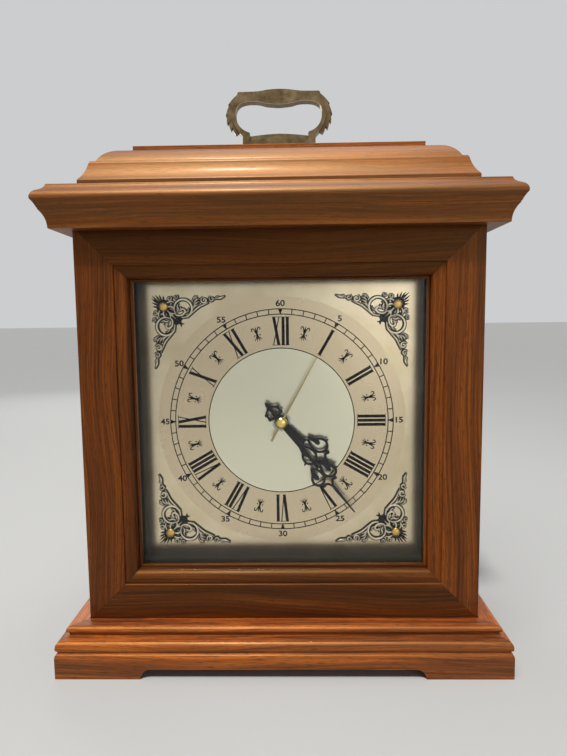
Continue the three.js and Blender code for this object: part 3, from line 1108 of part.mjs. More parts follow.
function buildDoor() {
  const low = BASE_TOP + DOOR_GAP;
  const high = FRAME_TOP - DOOR_GAP;
  const front = CASE_DEPTH - DOOR_THICK;
  const slots = [];
  for (let row = 0; row < SLOT_ROWS; row += 1) {
    for (let column = 0; column < SLOT_COLUMNS; column += 1) {
      const x = (column - (SLOT_COLUMNS - 1) / 2) * SLOT_STEP;
      const z = DIAL_Z + (row - (SLOT_ROWS - 1) / 2) * SLOT_RISE;
      slots.push(block(x - SLOT_LENGTH / 2, x + SLOT_LENGTH / 2, front - PAST, CASE_DEPTH + PAST,
        z - SLOT_HEIGHT / 2, z + SLOT_HEIGHT / 2));
    }
  }
  add('rear_door', cut(block(DOOR_LEFT, DOOR_RIGHT, front, CASE_DEPTH, low, high), ...slots), wood);

  const hingeLow = DIAL_Z - HINGE_LENGTH / 2;
  const step = HINGE_LENGTH / HINGE_KNUCKLES;
  const caseFace = HALF - SIDE_THICK;
  const leaf = (x0, x1) => block(x0, x1, HINGE_Y - KNUCKLE_R - HINGE_LEAF_WIDTH, HINGE_Y,
    hingeLow, hingeLow + HINGE_LENGTH);
  const knuckle = (i, extra) => post(HINGE_X, HINGE_Y, hingeLow + i * step - extra,
    hingeLow + (i + 1) * step + extra, KNUCKLE_R + (extra > 0 ? SEAT : 0), FINE_ROUND);
  const pinHole = post(HINGE_X, HINGE_Y, hingeLow - PAST, hingeLow + HINGE_LENGTH + PAST,
    HINGE_PIN_R + RUN, FINE_ROUND);
  for (const [name, odd, x0, x1] of [
    ['hinge_case_leaf', 0, caseFace - HINGE_LEAF_THICK, caseFace],
    ['hinge_door_leaf', 1, DOOR_RIGHT, DOOR_RIGHT + HINGE_LEAF_THICK]]) {
    const own = [];
    const others = [];
    for (let i = 0; i < HINGE_KNUCKLES; i += 1) {
      if (i % 2 === odd) own.push(knuckle(i, -KNUCKLE_GAP / 2));
      else others.push(knuckle(i, KNUCKLE_GAP / 2));
    }
    add(name, cut(join(leaf(x0, x1), ...own), ...others, pinHole), brass);
  }
  add('hinge_pin', post(HINGE_X, HINGE_Y, hingeLow, hingeLow + HINGE_LENGTH, HINGE_PIN_R, FINE_ROUND),
    steel);

}

function buildTurnButton() {
  const front = CASE_DEPTH + SEAT;
  const back = front + BUTTON_THICK;
  const wide = BUTTON_WIDTH / 2;
  const narrow = BUTTON_TIP / 2;
  const tip = -(BUTTON_LENGTH - wide - narrow);
  const button = new THREE.Shape();
  button.absarc(0, 0, wide, 0, Math.PI, false);
  button.lineTo(-narrow, tip);
  button.absarc(0, tip, narrow, Math.PI, TURN, false);
  button.closePath();
  add('turn_button', join(plate(button, front, back, 6).translate(BUTTON_X, 0, DIAL_Z),
    rod(BUTTON_X, DIAL_Z, CASE_DEPTH - BUTTON_PIN_LENGTH, back + BUTTON_PIN_PROUD, BUTTON_PIN_R,
      FINE_ROUND)), brass);
}

buildPlinth();
buildTop();
buildSides();
buildFrame();
buildDial();
buildSpandrels();
buildHands();
buildTrain();
buildMotor();
buildTray();
buildCover();
buildBattery();
buildBoard();
buildKnobs();
buildSelector();
buildSpeaker();
buildHandle();
buildDoor();
buildTurnButton();

export default clock;
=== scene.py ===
"""Looks of the bracket clock: case, dial, hands, corner ornaments, handle, back and movement.

Metres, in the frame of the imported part: +X is the clock's right seen from the front, +Y runs back,
+Z is up and z = 0 is the table.
"""
import json
import math

import bpy
from mathutils import Matrix, Vector

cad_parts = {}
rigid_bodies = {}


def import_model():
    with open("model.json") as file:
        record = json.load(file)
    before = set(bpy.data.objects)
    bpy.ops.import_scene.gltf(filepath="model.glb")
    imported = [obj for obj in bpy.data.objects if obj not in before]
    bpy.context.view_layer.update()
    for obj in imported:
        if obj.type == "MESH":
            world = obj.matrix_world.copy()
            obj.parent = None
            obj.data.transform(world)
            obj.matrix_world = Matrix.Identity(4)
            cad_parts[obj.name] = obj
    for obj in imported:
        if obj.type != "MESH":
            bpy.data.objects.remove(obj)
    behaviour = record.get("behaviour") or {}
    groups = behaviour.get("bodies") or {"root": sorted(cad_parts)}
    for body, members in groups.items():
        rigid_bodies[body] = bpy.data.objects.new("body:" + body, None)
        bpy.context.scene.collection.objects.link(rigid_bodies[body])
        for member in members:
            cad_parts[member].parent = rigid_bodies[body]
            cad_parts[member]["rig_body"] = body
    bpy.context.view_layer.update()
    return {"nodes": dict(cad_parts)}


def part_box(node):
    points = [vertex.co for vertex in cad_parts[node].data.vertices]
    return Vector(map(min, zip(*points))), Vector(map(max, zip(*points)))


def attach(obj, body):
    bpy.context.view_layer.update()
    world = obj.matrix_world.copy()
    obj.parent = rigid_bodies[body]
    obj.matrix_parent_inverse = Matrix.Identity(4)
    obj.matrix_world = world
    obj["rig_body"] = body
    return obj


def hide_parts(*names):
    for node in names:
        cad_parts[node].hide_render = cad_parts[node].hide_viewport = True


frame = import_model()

MM = 0.001

# ---------------------------------------------------------------- places taken from the frame

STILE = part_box("frame_stile_left")
FACE = STILE[0].y                                # front face of the frame
CASE_HALF = -STILE[0].x
FRAME_LOW, FRAME_HIGH = STILE[0].z, STILE[1].z
CASE_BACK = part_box("side_panel_left")[1].y
BASE_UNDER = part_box("base_board")[0].z
TOP_BOARD_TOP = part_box("top_board")[1].z
DIAL_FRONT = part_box("dial_plate")[0].y
DIAL_Z = (FRAME_LOW + FRAME_HIGH) / 2
ROOF_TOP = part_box("roof_plate")[0].z
PLATE_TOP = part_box("roof_plate")[1].z
HANDLE_FRONT, HANDLE_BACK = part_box("handle")[0].y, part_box("handle")[1].y
MITRE_GAP = 0.1 * MM

# ---------------------------------------------------------------- shader building


class Wire:
    """One output of a shader node. Sums and products of wires add Math nodes."""

    def __init__(self, finish, socket):
        self.finish = finish
        self.socket = socket

    def maths(self, operation, *values, clamp=False):
        settings = {"operation": operation, "use_clamp": clamp}
        return self.finish.node("ShaderNodeMath", settings, dict(enumerate(values)))

    def __add__(self, other):
        return self.maths("ADD", self, other)

    def __sub__(self, other):
        return self.maths("SUBTRACT", self, other)

    def __rsub__(self, other):
        return self.maths("SUBTRACT", other, self)

    def __mul__(self, other):
        return self.maths("MULTIPLY", self, other)

    def __truediv__(self, other):
        return self.maths("DIVIDE", self, other)

    def __abs__(self):
        return self.maths("ABSOLUTE", self)

    def power(self, exponent):
        return self.maths("POWER", self, exponent)

    def clamped(self):
        return self.maths("ADD", self, 0.0, clamp=True)

    def above(self, edge, blur):
        """0 below the edge and 1 above it, with a soft step."""
        return ((self - edge) / blur + 0.5).clamped()

    __radd__ = __add__
    __rmul__ = __mul__


class Finish:
    """A material built round one Principled shader."""

    def __init__(self, name, **constants):
        self.material = bpy.data.materials.new(name)
        self.material.use_nodes = True
        self.tree = self.material.node_tree
        self.tree.nodes.clear()
        self.shader = self.tree.nodes.new("ShaderNodeBsdfPrincipled")
        self.output = self.tree.nodes.new("ShaderNodeOutputMaterial")
        self.tree.links.new(self.shader.outputs[0], self.output.inputs["Surface"])
        self.x, self.y, self.z = self.places()
        for key, value in constants.items():
            self.set(key.replace("_", " ").title().replace("Ior", "IOR"), value)

    def set(self, socket, value):
        self.join(value, self.shader.inputs[socket])

    def join(self, value, socket):
        if isinstance(value, Wire):
            self.tree.links.new(value.socket, socket)
        elif isinstance(value, (tuple, list)) and socket.type == "RGBA":
            socket.default_value = (*value[:3], 1.0)
        else:
            socket.default_value = value

    def node(self, kind, settings=None, sockets=None, output=0):
        made = self.tree.nodes.new(kind)
        for key, value in (settings or {}).items():
            if key == "stops":
                stops = made.color_ramp.elements
                stops.remove(stops[1])
                stops[0].position, stops[0].color = value[0][0], (*value[0][1], 1.0)
                for at, colour in value[1:]:
                    stops.new(at).color = (*colour, 1.0)
            else:
                setattr(made, key, value)
        for key, value in (sockets or {}).items():
            self.join(value, made.inputs[key])
        return Wire(self, made.outputs[output])

    def places(self):
        """Object coordinates in millimetres, as three wires."""
        coords = self.node("ShaderNodeTexCoord", output=3)
        parts = self.node("ShaderNodeSeparateXYZ", sockets={0: coords}).socket.node
        return [Wire(self, parts.outputs[i]) * (1 / MM) for i in range(3)]

    def noise(self, x, y, z, detail=2.0, roughness=0.5, distortion=0.0):
        spot = self.node("ShaderNodeCombineXYZ", sockets={0: x, 1: y, 2: z})
        return self.node("ShaderNodeTexNoise", sockets={
            "Vector": spot, "Scale": 1.0, "Detail": detail, "Roughness": roughness,
            "Distortion": distortion})

    def grit(self, size, **settings):
        """Noise of one size in millimetres, the same all ways."""
        return self.noise(self.x / size, self.y / size, self.z / size, **settings)

    def from_hub(self):
        """Distance from the middle of the dial, seen from the front."""
        z = self.z - DIAL_Z / MM
        return (self.x * self.x + z * z).power(0.5)

    def ramp(self, value, *stops):
        return self.node("ShaderNodeValToRGB", {"stops": stops}, {0: value})

    def mix(self, share, first, second, blend="MIX"):
        settings = {"data_type": "RGBA", "blend_type": blend}
        return self.node("ShaderNodeMix", settings, {0: share, 6: first, 7: second}, output=2)

    def done(self, colour, roughness, height, strength, depth):
        """Sets what varies over the surface, with a bump of a depth in millimetres."""
        self.set("Base Color", colour)
        self.set("Roughness", roughness)
        self.set("Normal", self.node("ShaderNodeBump", sockets={
            "Strength": strength, "Distance": depth * MM, "Height": height}))
        return self.material


# ---------------------------------------------------------------- finishes

WOOD_DARK = (0.020, 0.0045, 0.0022)
WOOD_MIDDLE = (0.072, 0.0160, 0.0036)
WOOD_LIGHT = (0.150, 0.038, 0.0050)
AMBER = (1.0, 0.52, 0.17)        # tint of the light that the stained grain throws back


def wood(name, grain, seed, tone_and_painted_light, sheen):
    """Stained and lacquered hardwood, its grain along one axis."""
    f = Finish(name, coat_weight=0.05 * sheen, coat_roughness=0.15, specular_ior_level=sheen,
               specular_tint=AMBER)
    along, across, through = {"x": (f.x, f.z, f.y), "y": (f.y, f.z, f.x), "z": (f.z, f.x, f.y)}[grain]
    sway = f.noise(across / 70, through / 70, along / 150 + seed, detail=1.0)
    lane = across + sway * 18
    band = f.noise(lane / 13, through / 13, along / 320 + seed, detail=2.0, distortion=0.3)
    streak = f.noise(lane / 1.3, through / 1.3, along / 90 + seed, detail=4.0, roughness=0.65)
    fleck = f.noise(lane / 0.38, through / 0.38, along / 7 + seed, detail=1.0)
    pore = fleck.above(0.62, 0.08)
    figure = band * 0.40 + streak * 0.60
    colour = f.ramp(figure, (0.38, WOOD_DARK), (0.50, WOOD_MIDDLE), (0.63, WOOD_LIGHT))
    # The piece's tone scales its colour: partly the wood's own tone, partly painted light, lighter on
    # pieces lit from above and darker on the top rail in the cornice's shade.
    stain = f.mix(1.0, colour, (tone_and_painted_light, tone_and_painted_light, tone_and_painted_light), "MULTIPLY")
    return f.done(f.mix(pore * 0.7, stain, WOOD_DARK), streak * 0.14 + 0.40,
                  streak * 0.5 - pore * 0.6, 0.30, 0.12)


def raw_wood(name, seed):
    """Unpolished, darkened inner wood."""
    f = Finish(name, specular_ior_level=0.15)
    streak = f.noise(f.x / 14, f.y / 14, f.z / 60 + seed, detail=2.0)
    colour = f.ramp(streak, (0.3, (0.016, 0.014, 0.010)), (0.7, (0.026, 0.022, 0.015)))
    return f.done(colour, streak * 0.2 + 0.7, streak, 0.1, 0.05)


def fibre_sheet(name, size, dark, light, roughness, strength, depth):
    """Matted fibres, as in hardboard and paper."""
    f = Finish(name)
    fibre = f.grit(size, detail=5.0, roughness=0.7)
    return f.done(f.ramp(fibre, (0.3, dark), (0.7, light)), fibre * 0.2 + roughness, fibre, strength, depth)


MIRROR_R = 49.5          # polished middle of the dial, in millimetres
SPUN_R = 84.0            # edge of the turned band round it


def dial_brass(name):
    """Lacquered brass: a bright middle, a turned band round it and straight brushing outside."""
    f = Finish(name, metallic=1.0)
    radius = f.from_hub()
    outside = radius.above(SPUN_R, 0.5)
    middle = 1 - radius.above(MIRROR_R, 0.4)
    turned = (1 - outside) * (1 - middle)
    z = f.z - DIAL_Z / MM
    haze = f.noise(f.x / 30, 0.0, z / 30, detail=2.0)
    rings = f.noise(radius * 2.2, 0.0, 0.0, detail=3.0, roughness=0.7)
    brushing = f.noise(f.x * 2.5, 0.0, z / 12, detail=3.0, roughness=0.7)
    tint = f.ramp(haze, (0.35, (0.70, 0.58, 0.38)), (0.65, (0.82, 0.70, 0.50)))
    tint = f.mix(middle, tint, (0.84, 0.80, 0.62))
    return f.done(f.mix(turned * 0.9, tint, (0.70, 0.57, 0.39)),
                  middle * 0.13 + turned * 0.16 + outside * 0.12 + haze * 0.06 + 0.08,
                  turned * rings + outside * brushing * 0.6, 0.10, 0.05)


def polished_brass(name, colour=(0.80, 0.56, 0.22), roughness=0.16):
    f = Finish(name, metallic=1.0)
    cloud = f.grit(4, detail=3.0)
    scratch = f.noise(f.x / 0.25, f.y / 0.25, f.z / 3, detail=2.0)
    worn = tuple(c * 0.75 for c in colour)
    return f.done(f.mix(cloud.above(0.52, 0.3), colour, worn),
                  cloud * 0.15 + scratch * 0.08 + roughness - 0.1, scratch, 0.12, 0.03)


CAP_R = 4.1              # the second hand's cap, in millimetres


def hand_brass(name):
    """Dull brass blade with a bright yellow cap."""
    f = Finish(name, metallic=1.0)
    cap = 1 - f.from_hub().above(CAP_R + 0.2, 0.3)
    cloud = f.noise(f.x / 4, f.y / 4, (f.z - DIAL_Z / MM) / 4, detail=3.0)
    return f.done(f.mix(cap, (0.40, 0.32, 0.17), (0.90, 0.70, 0.22)), cloud * 0.12 + 0.16,
                  cloud, 0.1, 0.03)


PAINTED_HIGHLIGHT_WIDTH = 0.75               # width of the painted highlight round the handle's front face, in millimetres


def cast_brass(name):
    """Aged casting: brown-gold with duller patches, a grainy skin and a painted highlight along the front
    edge, coloured as polished brass.
    """
    f = Finish(name, metallic=1.0)
    depth = f.y - HANDLE_FRONT / MM
    # Painted highlight: the bevelled front edge is coloured bright, standing in for the light it catches.
    rim = depth.above(0.12, 0.08) * (1 - depth.above(PAINTED_HIGHLIGHT_WIDTH, 0.1))
    patch = f.grit(6, detail=4.0, roughness=0.6)
    grain = f.grit(0.5, detail=3.0, roughness=0.7)
    aged = f.ramp(patch, (0.32, (0.120, 0.082, 0.041)), (0.5, (0.175, 0.122, 0.063)),
                  (0.7, (0.245, 0.177, 0.098)))
    return f.done(f.mix(rim, aged, (0.80, 0.68, 0.48)), grain * 0.2 + patch * 0.1 + 0.16,
                  grain + patch, 0.25, 0.10)


PATINA_TOP = 1.15        # ornament below this height over the dial is black, in millimetres
CREST = 1.70             # and bright above this


def antique_brass(name, boss_at, boss_r):
    """Relief with black paint in the hollows and rubbed crests. The boss is yellower."""
    f = Finish(name, specular_ior_level=0.15)
    height = DIAL_FRONT / MM - f.y
    grain = f.grit(0.6, detail=3.0)
    crest = ((height - PATINA_TOP + grain * 0.5 - 0.25) / (CREST - PATINA_TOP)).clamped()
    dx, dz = abs(f.x) - boss_at, abs(f.z - DIAL_Z / MM) - boss_at
    yellow = 1 - (dx * dx + dz * dz).power(0.5).above(boss_r, 0.4)
    bright = f.mix(yellow, (0.92, 0.81, 0.62), (0.80, 0.52, 0.15))
    f.set("Metallic", crest)
    return f.done(f.mix(crest, (0.012, 0.010, 0.009), bright), 0.60 - crest * 0.30 + grain * 0.08,
                  grain, 0.2, 0.08)


def black_enamel(name):
    """Baked satin black on pressed steel."""
    f = Finish(name, specular_ior_level=0.25)
    wear = f.grit(5, detail=3.0)
    return f.done(f.mix(wear, (0.006, 0.005, 0.006), (0.014, 0.011, 0.013)), wear * 0.15 + 0.28,
                  f.grit(0.7), 0.10, 0.05)


def print_ink(name):
    f = Finish(name, specular_ior_level=0.08)
    cover = f.noise(f.x / 1.5, 0.0, f.z / 1.5, detail=3.0)
    return f.done(f.mix(cover, (0.003, 0.003, 0.004), (0.006, 0.006, 0.008)), cover * 0.2 + 0.45,
                  cover, 0.1, 0.02)


def moulded_plastic(name, colour, roughness=0.42):
    """Moulded plastic with a fine spark-eroded skin."""
    f = Finish(name)
    skin, cloud = f.grit(0.35), f.grit(15)
    darker = tuple(c * 0.82 for c in colour)
    return f.done(f.mix(cloud, darker, colour), skin * 0.12 + cloud * 0.06 + roughness - 0.08,
                  skin, 0.15, 0.06)


def bare_steel(name):
    f = Finish(name, metallic=1.0)
    brush = f.noise(f.x / 0.3, f.y / 0.3, f.z / 4)
    return f.done(f.mix(brush, (0.42, 0.42, 0.41), (0.56, 0.56, 0.54)), brush * 0.18 + 0.22,
                  brush, 0.12, 0.03)


def wound_copper(name):
    """Enamelled copper wire laid side by side round the spool."""
    f = Finish(name, metallic=1.0)
    turns = f.node("ShaderNodeMath", {"operation": "SINE"}, {0: f.x * 28})
    stain = f.grit(2)
    return f.done(f.mix(stain, (0.50, 0.16, 0.06), (0.72, 0.28, 0.11)), stain * 0.15 + 0.25,
                  turns, 0.5, 0.05)


def circuit_green(name):
    """Solder mask over copper tracks."""
    f = Finish(name, coat_weight=0.4, coat_roughness=0.2)
    spot = f.node("ShaderNodeCombineXYZ", sockets={0: f.x / 5, 1: 0.0, 2: f.z / 5})
    cells = f.node("ShaderNodeTexVoronoi", {"distance": "MANHATTAN"}, {"Vector": spot, "Scale": 1.0})
    tracks = cells.above(0.5, 0.08)
    return f.done(f.mix(tracks, (0.012, 0.075, 0.028), (0.03, 0.15, 0.05)),
                  f.grit(0.4) * 0.15 + 0.35, tracks, 0.3, 0.05)


def battery_wrap(name):
    """Shrink sleeve in two plain colours."""
    f = Finish(name, coat_weight=0.5, coat_roughness=0.12)
    cloud = f.grit(6)
    return f.done(f.mix(f.x.above(9.0, 0.3), (0.06, 0.07, 0.09), (0.42, 0.25, 0.08)),
                  cloud * 0.12 + 0.24, cloud, 0.1, 0.05)


def clear_glass(name):
    """Thin clear pane: it lets the dial through and mirrors a little more at a slant."""
    f = Finish(name, metallic=1.0, roughness=0.03)
    film = f.noise(f.x / 40, 0.0, f.z / 40, detail=3.0)
    f.set("Base Color", f.mix(film, (0.90, 0.93, 0.95), (1.0, 1.0, 1.0)))
    clear = f.node("ShaderNodeBsdfTransparent", sockets={0: (0.985, 0.99, 0.985)})
    gloss = f.node("ShaderNodeFresnel", sockets={"IOR": 1.35}) * 0.6
    pane = f.node("ShaderNodeMixShader", sockets={0: gloss, 1: clear,
                                                  2: Wire(f, f.shader.outputs[0])})
    f.tree.links.new(pane.socket, f.output.inputs["Surface"])
    return f.material


# ---------------------------------------------------------------- modelling


def only(obj):
    bpy.ops.object.select_all(action="DESELECT")
    obj.select_set(True)
    bpy.context.view_layer.objects.active = obj
    return obj


def in_edit(obj, action):
    """Runs an edit-mode action with the whole mesh selected."""
    only(obj)
    bpy.ops.object.mode_set(mode="EDIT")
    bpy.ops.mesh.select_mode(type="VERT")
    bpy.ops.mesh.select_all(action="SELECT")
    action()
    bpy.ops.object.mode_set(mode="OBJECT")
    return obj


def weld():
    bpy.ops.mesh.remove_doubles(threshold=1e-6)
    bpy.ops.mesh.normals_make_consistent(inside=False)


def settle(obj, matrix=None):
    """Puts the object's place into its mesh, and turns its faces outwards."""
    only(obj)
    if matrix is not None:
        obj.matrix_world = matrix
    bpy.ops.object.transform_apply(location=True, rotation=True, scale=True)
    return in_edit(obj, weld)


def smooth(obj, degrees=28):
    only(obj)
    bpy.ops.object.shade_smooth_by_angle(angle=math.radians(degrees))
    return obj


def apply_modifier(obj, kind, **settings):
    modifier = obj.modifiers.new(kind.lower(), kind)
    for key, value in settings.items():
        setattr(modifier, key, value)
    only(obj)
    bpy.ops.object.modifier_apply(modifier=modifier.name)
    return obj


def ease(obj, width, segments=2, degrees=32):
    """Rounds every sharp edge by a small bevel."""
    apply_modifier(obj, "BEVEL", width=width, segments=segments, limit_method="ANGLE",
                   angle_limit=math.radians(degrees))
    smooth(obj, 40)
    return apply_modifier(obj, "WEIGHTED_NORMAL", keep_sharp=True)


def combine(obj, other, operation):
    apply_modifier(obj, "BOOLEAN", operation=operation, object=other, solver="EXACT")
    bpy.data.objects.remove(other)
    return obj


def copy_of(obj, name):
    """A copy with a mesh of its own."""
    copy = obj.copy()
    copy.data = obj.data.copy()
    copy.name = name
    bpy.context.scene.collection.objects.link(copy)
    return copy


def joined(name, objects):
    only(objects[0])
    for obj in objects:
        obj.select_set(True)
    bpy.ops.object.join()
    objects[0].name = name
    return objects[0]


def meshed(curve, lines, closed):
    """Mesh of a curve through lines of points. A point may carry a radius."""
    for line in lines:
        spline = curve.splines.new("POLY")
        spline.points.add(len(line) - 1)
        spline.use_cyclic_u = closed
        for point, (x, y, *radius) in zip(spline.points, line):
            point.co = (x, y, 0.0, 1.0)
            point.radius = radius[0] if radius else 1.0
    obj = bpy.data.objects.new(curve.name, curve)
    bpy.context.scene.collection.objects.link(obj)
    only(obj)
    bpy.ops.object.convert(target="MESH")
    return bpy.context.object


def slab(name, loops, thick, edge=0.0):
    """Flat plate of the outlines in local x and y, centred in local z. Inner loops are holes."""
    curve = bpy.data.curves.new(name, "CURVE")
    curve.dimensions = "2D"
    curve.fill_mode = "BOTH"
    curve.extrude = thick / 2 - edge
    curve.bevel_depth = edge
    curve.bevel_resolution = 2
    curve.offset = -edge
    return meshed(curve, loops, closed=True)


def upright(name, loops, front, back, edge=0.0, turn=0.0, middle=(0.0, 0.0)):
    """A slab standing in x and z between two depths, turned clockwise about its middle."""
    obj = slab(name, loops, back - front, edge)
    place = Matrix.Translation((middle[0], (front + back) / 2, middle[1]))
    stand = Matrix.Rotation(math.pi / 2, 4, "X")
    return settle(obj, place @ Matrix.Rotation(turn, 4, "Y") @ stand)


def trace(*steps, pieces=10):
    """Outline through straight and curved steps. A curved step is (handle, end)."""
    points = [steps[0]]
    for step in steps[1:]:
        if isinstance(step[0], tuple):
            (ax, ay), (hx, hy), (bx, by) = points[-1], step[0], step[1]
            for i in range(1, pieces + 1):
                t = i / pieces
                u = 1 - t
                points.append((u * u * ax + 2 * u * t * hx + t * t * bx,
                               u * u * ay + 2 * u * t * hy + t * t * by))
        else:
            points.append(step)
    return points


def scaled(points, factor=MM):
    return [(x * factor, y * factor) for x, y in points]


def oblong(left, low, right, high):
    return [(left, low), (right, low), (right, high), (left, high)]


def both_sides(right):
    """Closed outline of its right half and that half's mirror image."""
    return right + [(-x, y) for x, y in reversed(right) if x > 0]


def circle(x, y, radius, count):
    return [(x + radius * math.cos(2 * math.pi * i / count),
             y + radius * math.sin(2 * math.pi * i / count)) for i in range(count)]


def ribbon(points, widths):
    """Outline of a flat stroke along points, with a width at each."""
    left, right = [], []
    for i, (x, y) in enumerate(points):
        ax, ay = points[max(i - 1, 0)]
        bx, by = points[min(i + 1, len(points) - 1)]
        length = math.hypot(bx - ax, by - ay) or 1.0
        nx, ny = -(by - ay) / length, (bx - ax) / length
        left.append((x + nx * widths[i] / 2, y + ny * widths[i] / 2))
        right.append((x - nx * widths[i] / 2, y - ny * widths[i] / 2))
    return left + right[::-1]


def flowing(points, pieces=4):
    """Smooth line through the points."""
    ends = [points[0]] + points + [points[-1]]
    out = [points[0]]
    for a, b, c, d in zip(ends, ends[1:], ends[2:], ends[3:]):
        for i in range(1, pieces + 1):
            t = i / pieces
            out.append(tuple(
                0.5 * (2 * b[k] + (c[k] - a[k]) * t + (2 * a[k] - 5 * b[k] + 4 * c[k] - d[k]) * t * t
                       + (3 * b[k] - 3 * c[k] + d[k] - a[k]) * t ** 3) for k in (0, 1)))
    return out


def brushed(points, *widths):
    """Outline of a stroke that flows through points, with its width given along it."""
    line = flowing(points, pieces=5)
    steps = len(widths) - 1
    wide = []
    for i in range(len(line)):
        t = i / (len(line) - 1) * steps
        k = min(int(t), steps - 1)
        wide.append(widths[k] + (widths[k + 1] - widths[k]) * (t - k))
    return ribbon(line, wide)


def tapering(count, start, middle, end):
    """Widths that run from start over middle to end."""
    out = []
    for i in range(count):
        t = i / (count - 1)
        if t < 0.5:
            out.append(start + (middle - start) * t * 2)
        else:
            out.append(middle + (end - middle) * (t * 2 - 1))
    return out


def spiral(x, y, outer, inner, start, turns, count):
    """Points winding from the outer radius to the inner one. Angles in degrees."""
    out = []
    for i in range(count):
        t = i / (count - 1)
        a = math.radians(start + 360 * turns * t)
        r = outer + (inner - outer) * t
        out.append((x + r * math.cos(a), y + r * math.sin(a)))
    return out


def shown(obj, body, slot, material, *nodes):
    """Gives a finished piece its material and its body, and hides the node that it stands for."""
    obj.data.materials.clear()
    obj.data.materials.append(material)
    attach(obj, body)
    if nodes:
        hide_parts(*nodes)
    return obj


def body_of(node):
    return frame["nodes"][node]["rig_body"]


def refined(node, width, slot, material, degrees=32, segments=2):
    """A copy of a node with its edges eased."""
    obj = copy_of(frame["nodes"][node], node + "_fine")
    obj.parent = None
    for key in [k for k in obj.keys() if k.startswith("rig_")]:
        del obj[key]

    def clean():
        weld()
        bpy.ops.mesh.dissolve_limited(angle_limit=math.radians(0.5))
        bpy.ops.mesh.normals_make_consistent(inside=False)

    in_edit(obj, clean)
    ease(obj, width, segments=segments, degrees=degrees)
    return shown(obj, body_of(node), slot, material, node)


# ---------------------------------------------------------------- mouldings

GRAIN_SEED = 3.7         # step between the grain of one piece and the next
FRAME_SHEEN, BOARD_SHEEN, MOULDING_SHEEN = 0.5, 0.8, 1.0
CLEAR = 0.3              # gap between a moulding and the case, in millimetres
SPARE = 60 * MM          # extra length that is sawn off
wood_count = 0


def next_wood(grain, tone_and_painted_light, sheen):
    global wood_count
    wood_count += 1
    return wood(f"case_wood_{wood_count}", grain, wood_count * GRAIN_SEED, tone_and_painted_light, sheen)


def bar(name, section, length, axes, origin):
    """A length of moulding. axes say where the section's x, its y and the length point."""
    obj = slab(name, [scaled(section)], length)
    matrix = Matrix([list(a) + [0.0] for a in axes] + [[0.0, 0.0, 0.0, 1.0]]).transposed()
    return settle(obj, Matrix.Translation(origin) @ matrix)


def sawn(obj, point, normal):
    """Cuts off what lies on the side of the plane that its normal points to."""
    def cut():
        bpy.ops.mesh.bisect(plane_co=point, plane_no=normal, use_fill=True, clear_outer=True)
    in_edit(obj, cut)
    return in_edit(obj, weld)


def moulding_set(names, section, tone_and_painted_light, foot=None):
    """Front and side lengths of one moulding, mitred at the front corners."""
    gap = MITRE_GAP / 2
    made = []
    front = bar(names[0], section, 2 * CASE_HALF + SPARE, [(0, -1, 0), (0, 0, 1), (1, 0, 0)],
                (0, FACE, 0))
    for side in (-1, 1):
        sawn(front, (side * (CASE_HALF - gap), FACE, 0), (side, 1, 0))
    made.append((front, "x"))
    for name, side in zip(names[1:], (-1, 1)):
        length = 2 * (CASE_BACK - FACE + SPARE)
        obj = bar(name, section, length, [(side, 0, 0), (0, 0, 1), (0, 1, 0)],
                  (side * CASE_HALF, FACE, 0))
        sawn(obj, (side * CASE_HALF, FACE + gap, 0), (-side, -1, 0))
        sawn(obj, (0, CASE_BACK, 0), (0, 1, 0))
        made.append((obj, "y"))
    for (obj, grain), node in zip(made, names):
        obj.name = node + "_moulding"
        if foot:
            foot(obj, node)
        smooth(obj)
        shown(obj, "root", "case_wood", next_wood(grain, tone_and_painted_light, MOULDING_SHEEN), node)


# Sections of plinth, cornice and roof: (projection from the case, height), in millimetres
SKIRT_OUT = 17.65
SKIRT_IN = 6.0           # how far the plinth reaches in behind the face of the case
GROOVE_Z = 16.8
NOSE_Z = 19.3
STEP_Z = 24.0
CROWN_Z = 29.3
PLINTH_TOP = 31.3


def plinth_section():
    under = BASE_UNDER / MM - CLEAR
    return trace(
        (-SKIRT_IN, 0), (17.2, 0), ((SKIRT_OUT, 0), (SKIRT_OUT, 0.5)), (SKIRT_OUT, 13.0),
        ((17.6, 15.7), (16.4, 16.0)), ((15.9, 16.1), (15.9, GROOVE_Z - 0.3)),
        (15.9, GROOVE_Z + 0.3), ((16.0, 17.6), (16.5, 17.9)), ((17.2, 18.3), (17.2, NOSE_Z + 0.6)),
        ((17.2, 22.2), (15.7, 23.3)), ((15.2, 23.6), (15.2, STEP_Z)),
        (10.3, STEP_Z + 0.9), ((9.85, 25.0), (9.85, STEP_Z + 1.5)),
        ((9.9, 27.2), (11.3, 27.9)), ((11.65, 28.1), (11.65, CROWN_Z - 0.2)),
        ((11.6, PLINTH_TOP), (7.6, PLINTH_TOP)), (CLEAR, PLINTH_TOP), (CLEAR, under),
        (-SKIRT_IN, under))


ARCH_HEIGHT = 6.5
FRONT_FOOT = 54.3
SIDE_FOOT = 38.0
ARCH_SWEEP = 6.4


def arch_outline(low, high):
    bend = ARCH_SWEEP / 4
    return trace((low, -2), (low, 0), ((low + bend, ARCH_HEIGHT), (low + ARCH_SWEEP, ARCH_HEIGHT)),
                 (high - ARCH_SWEEP, ARCH_HEIGHT), ((high - bend, ARCH_HEIGHT), (high, 0)), (high, -2))


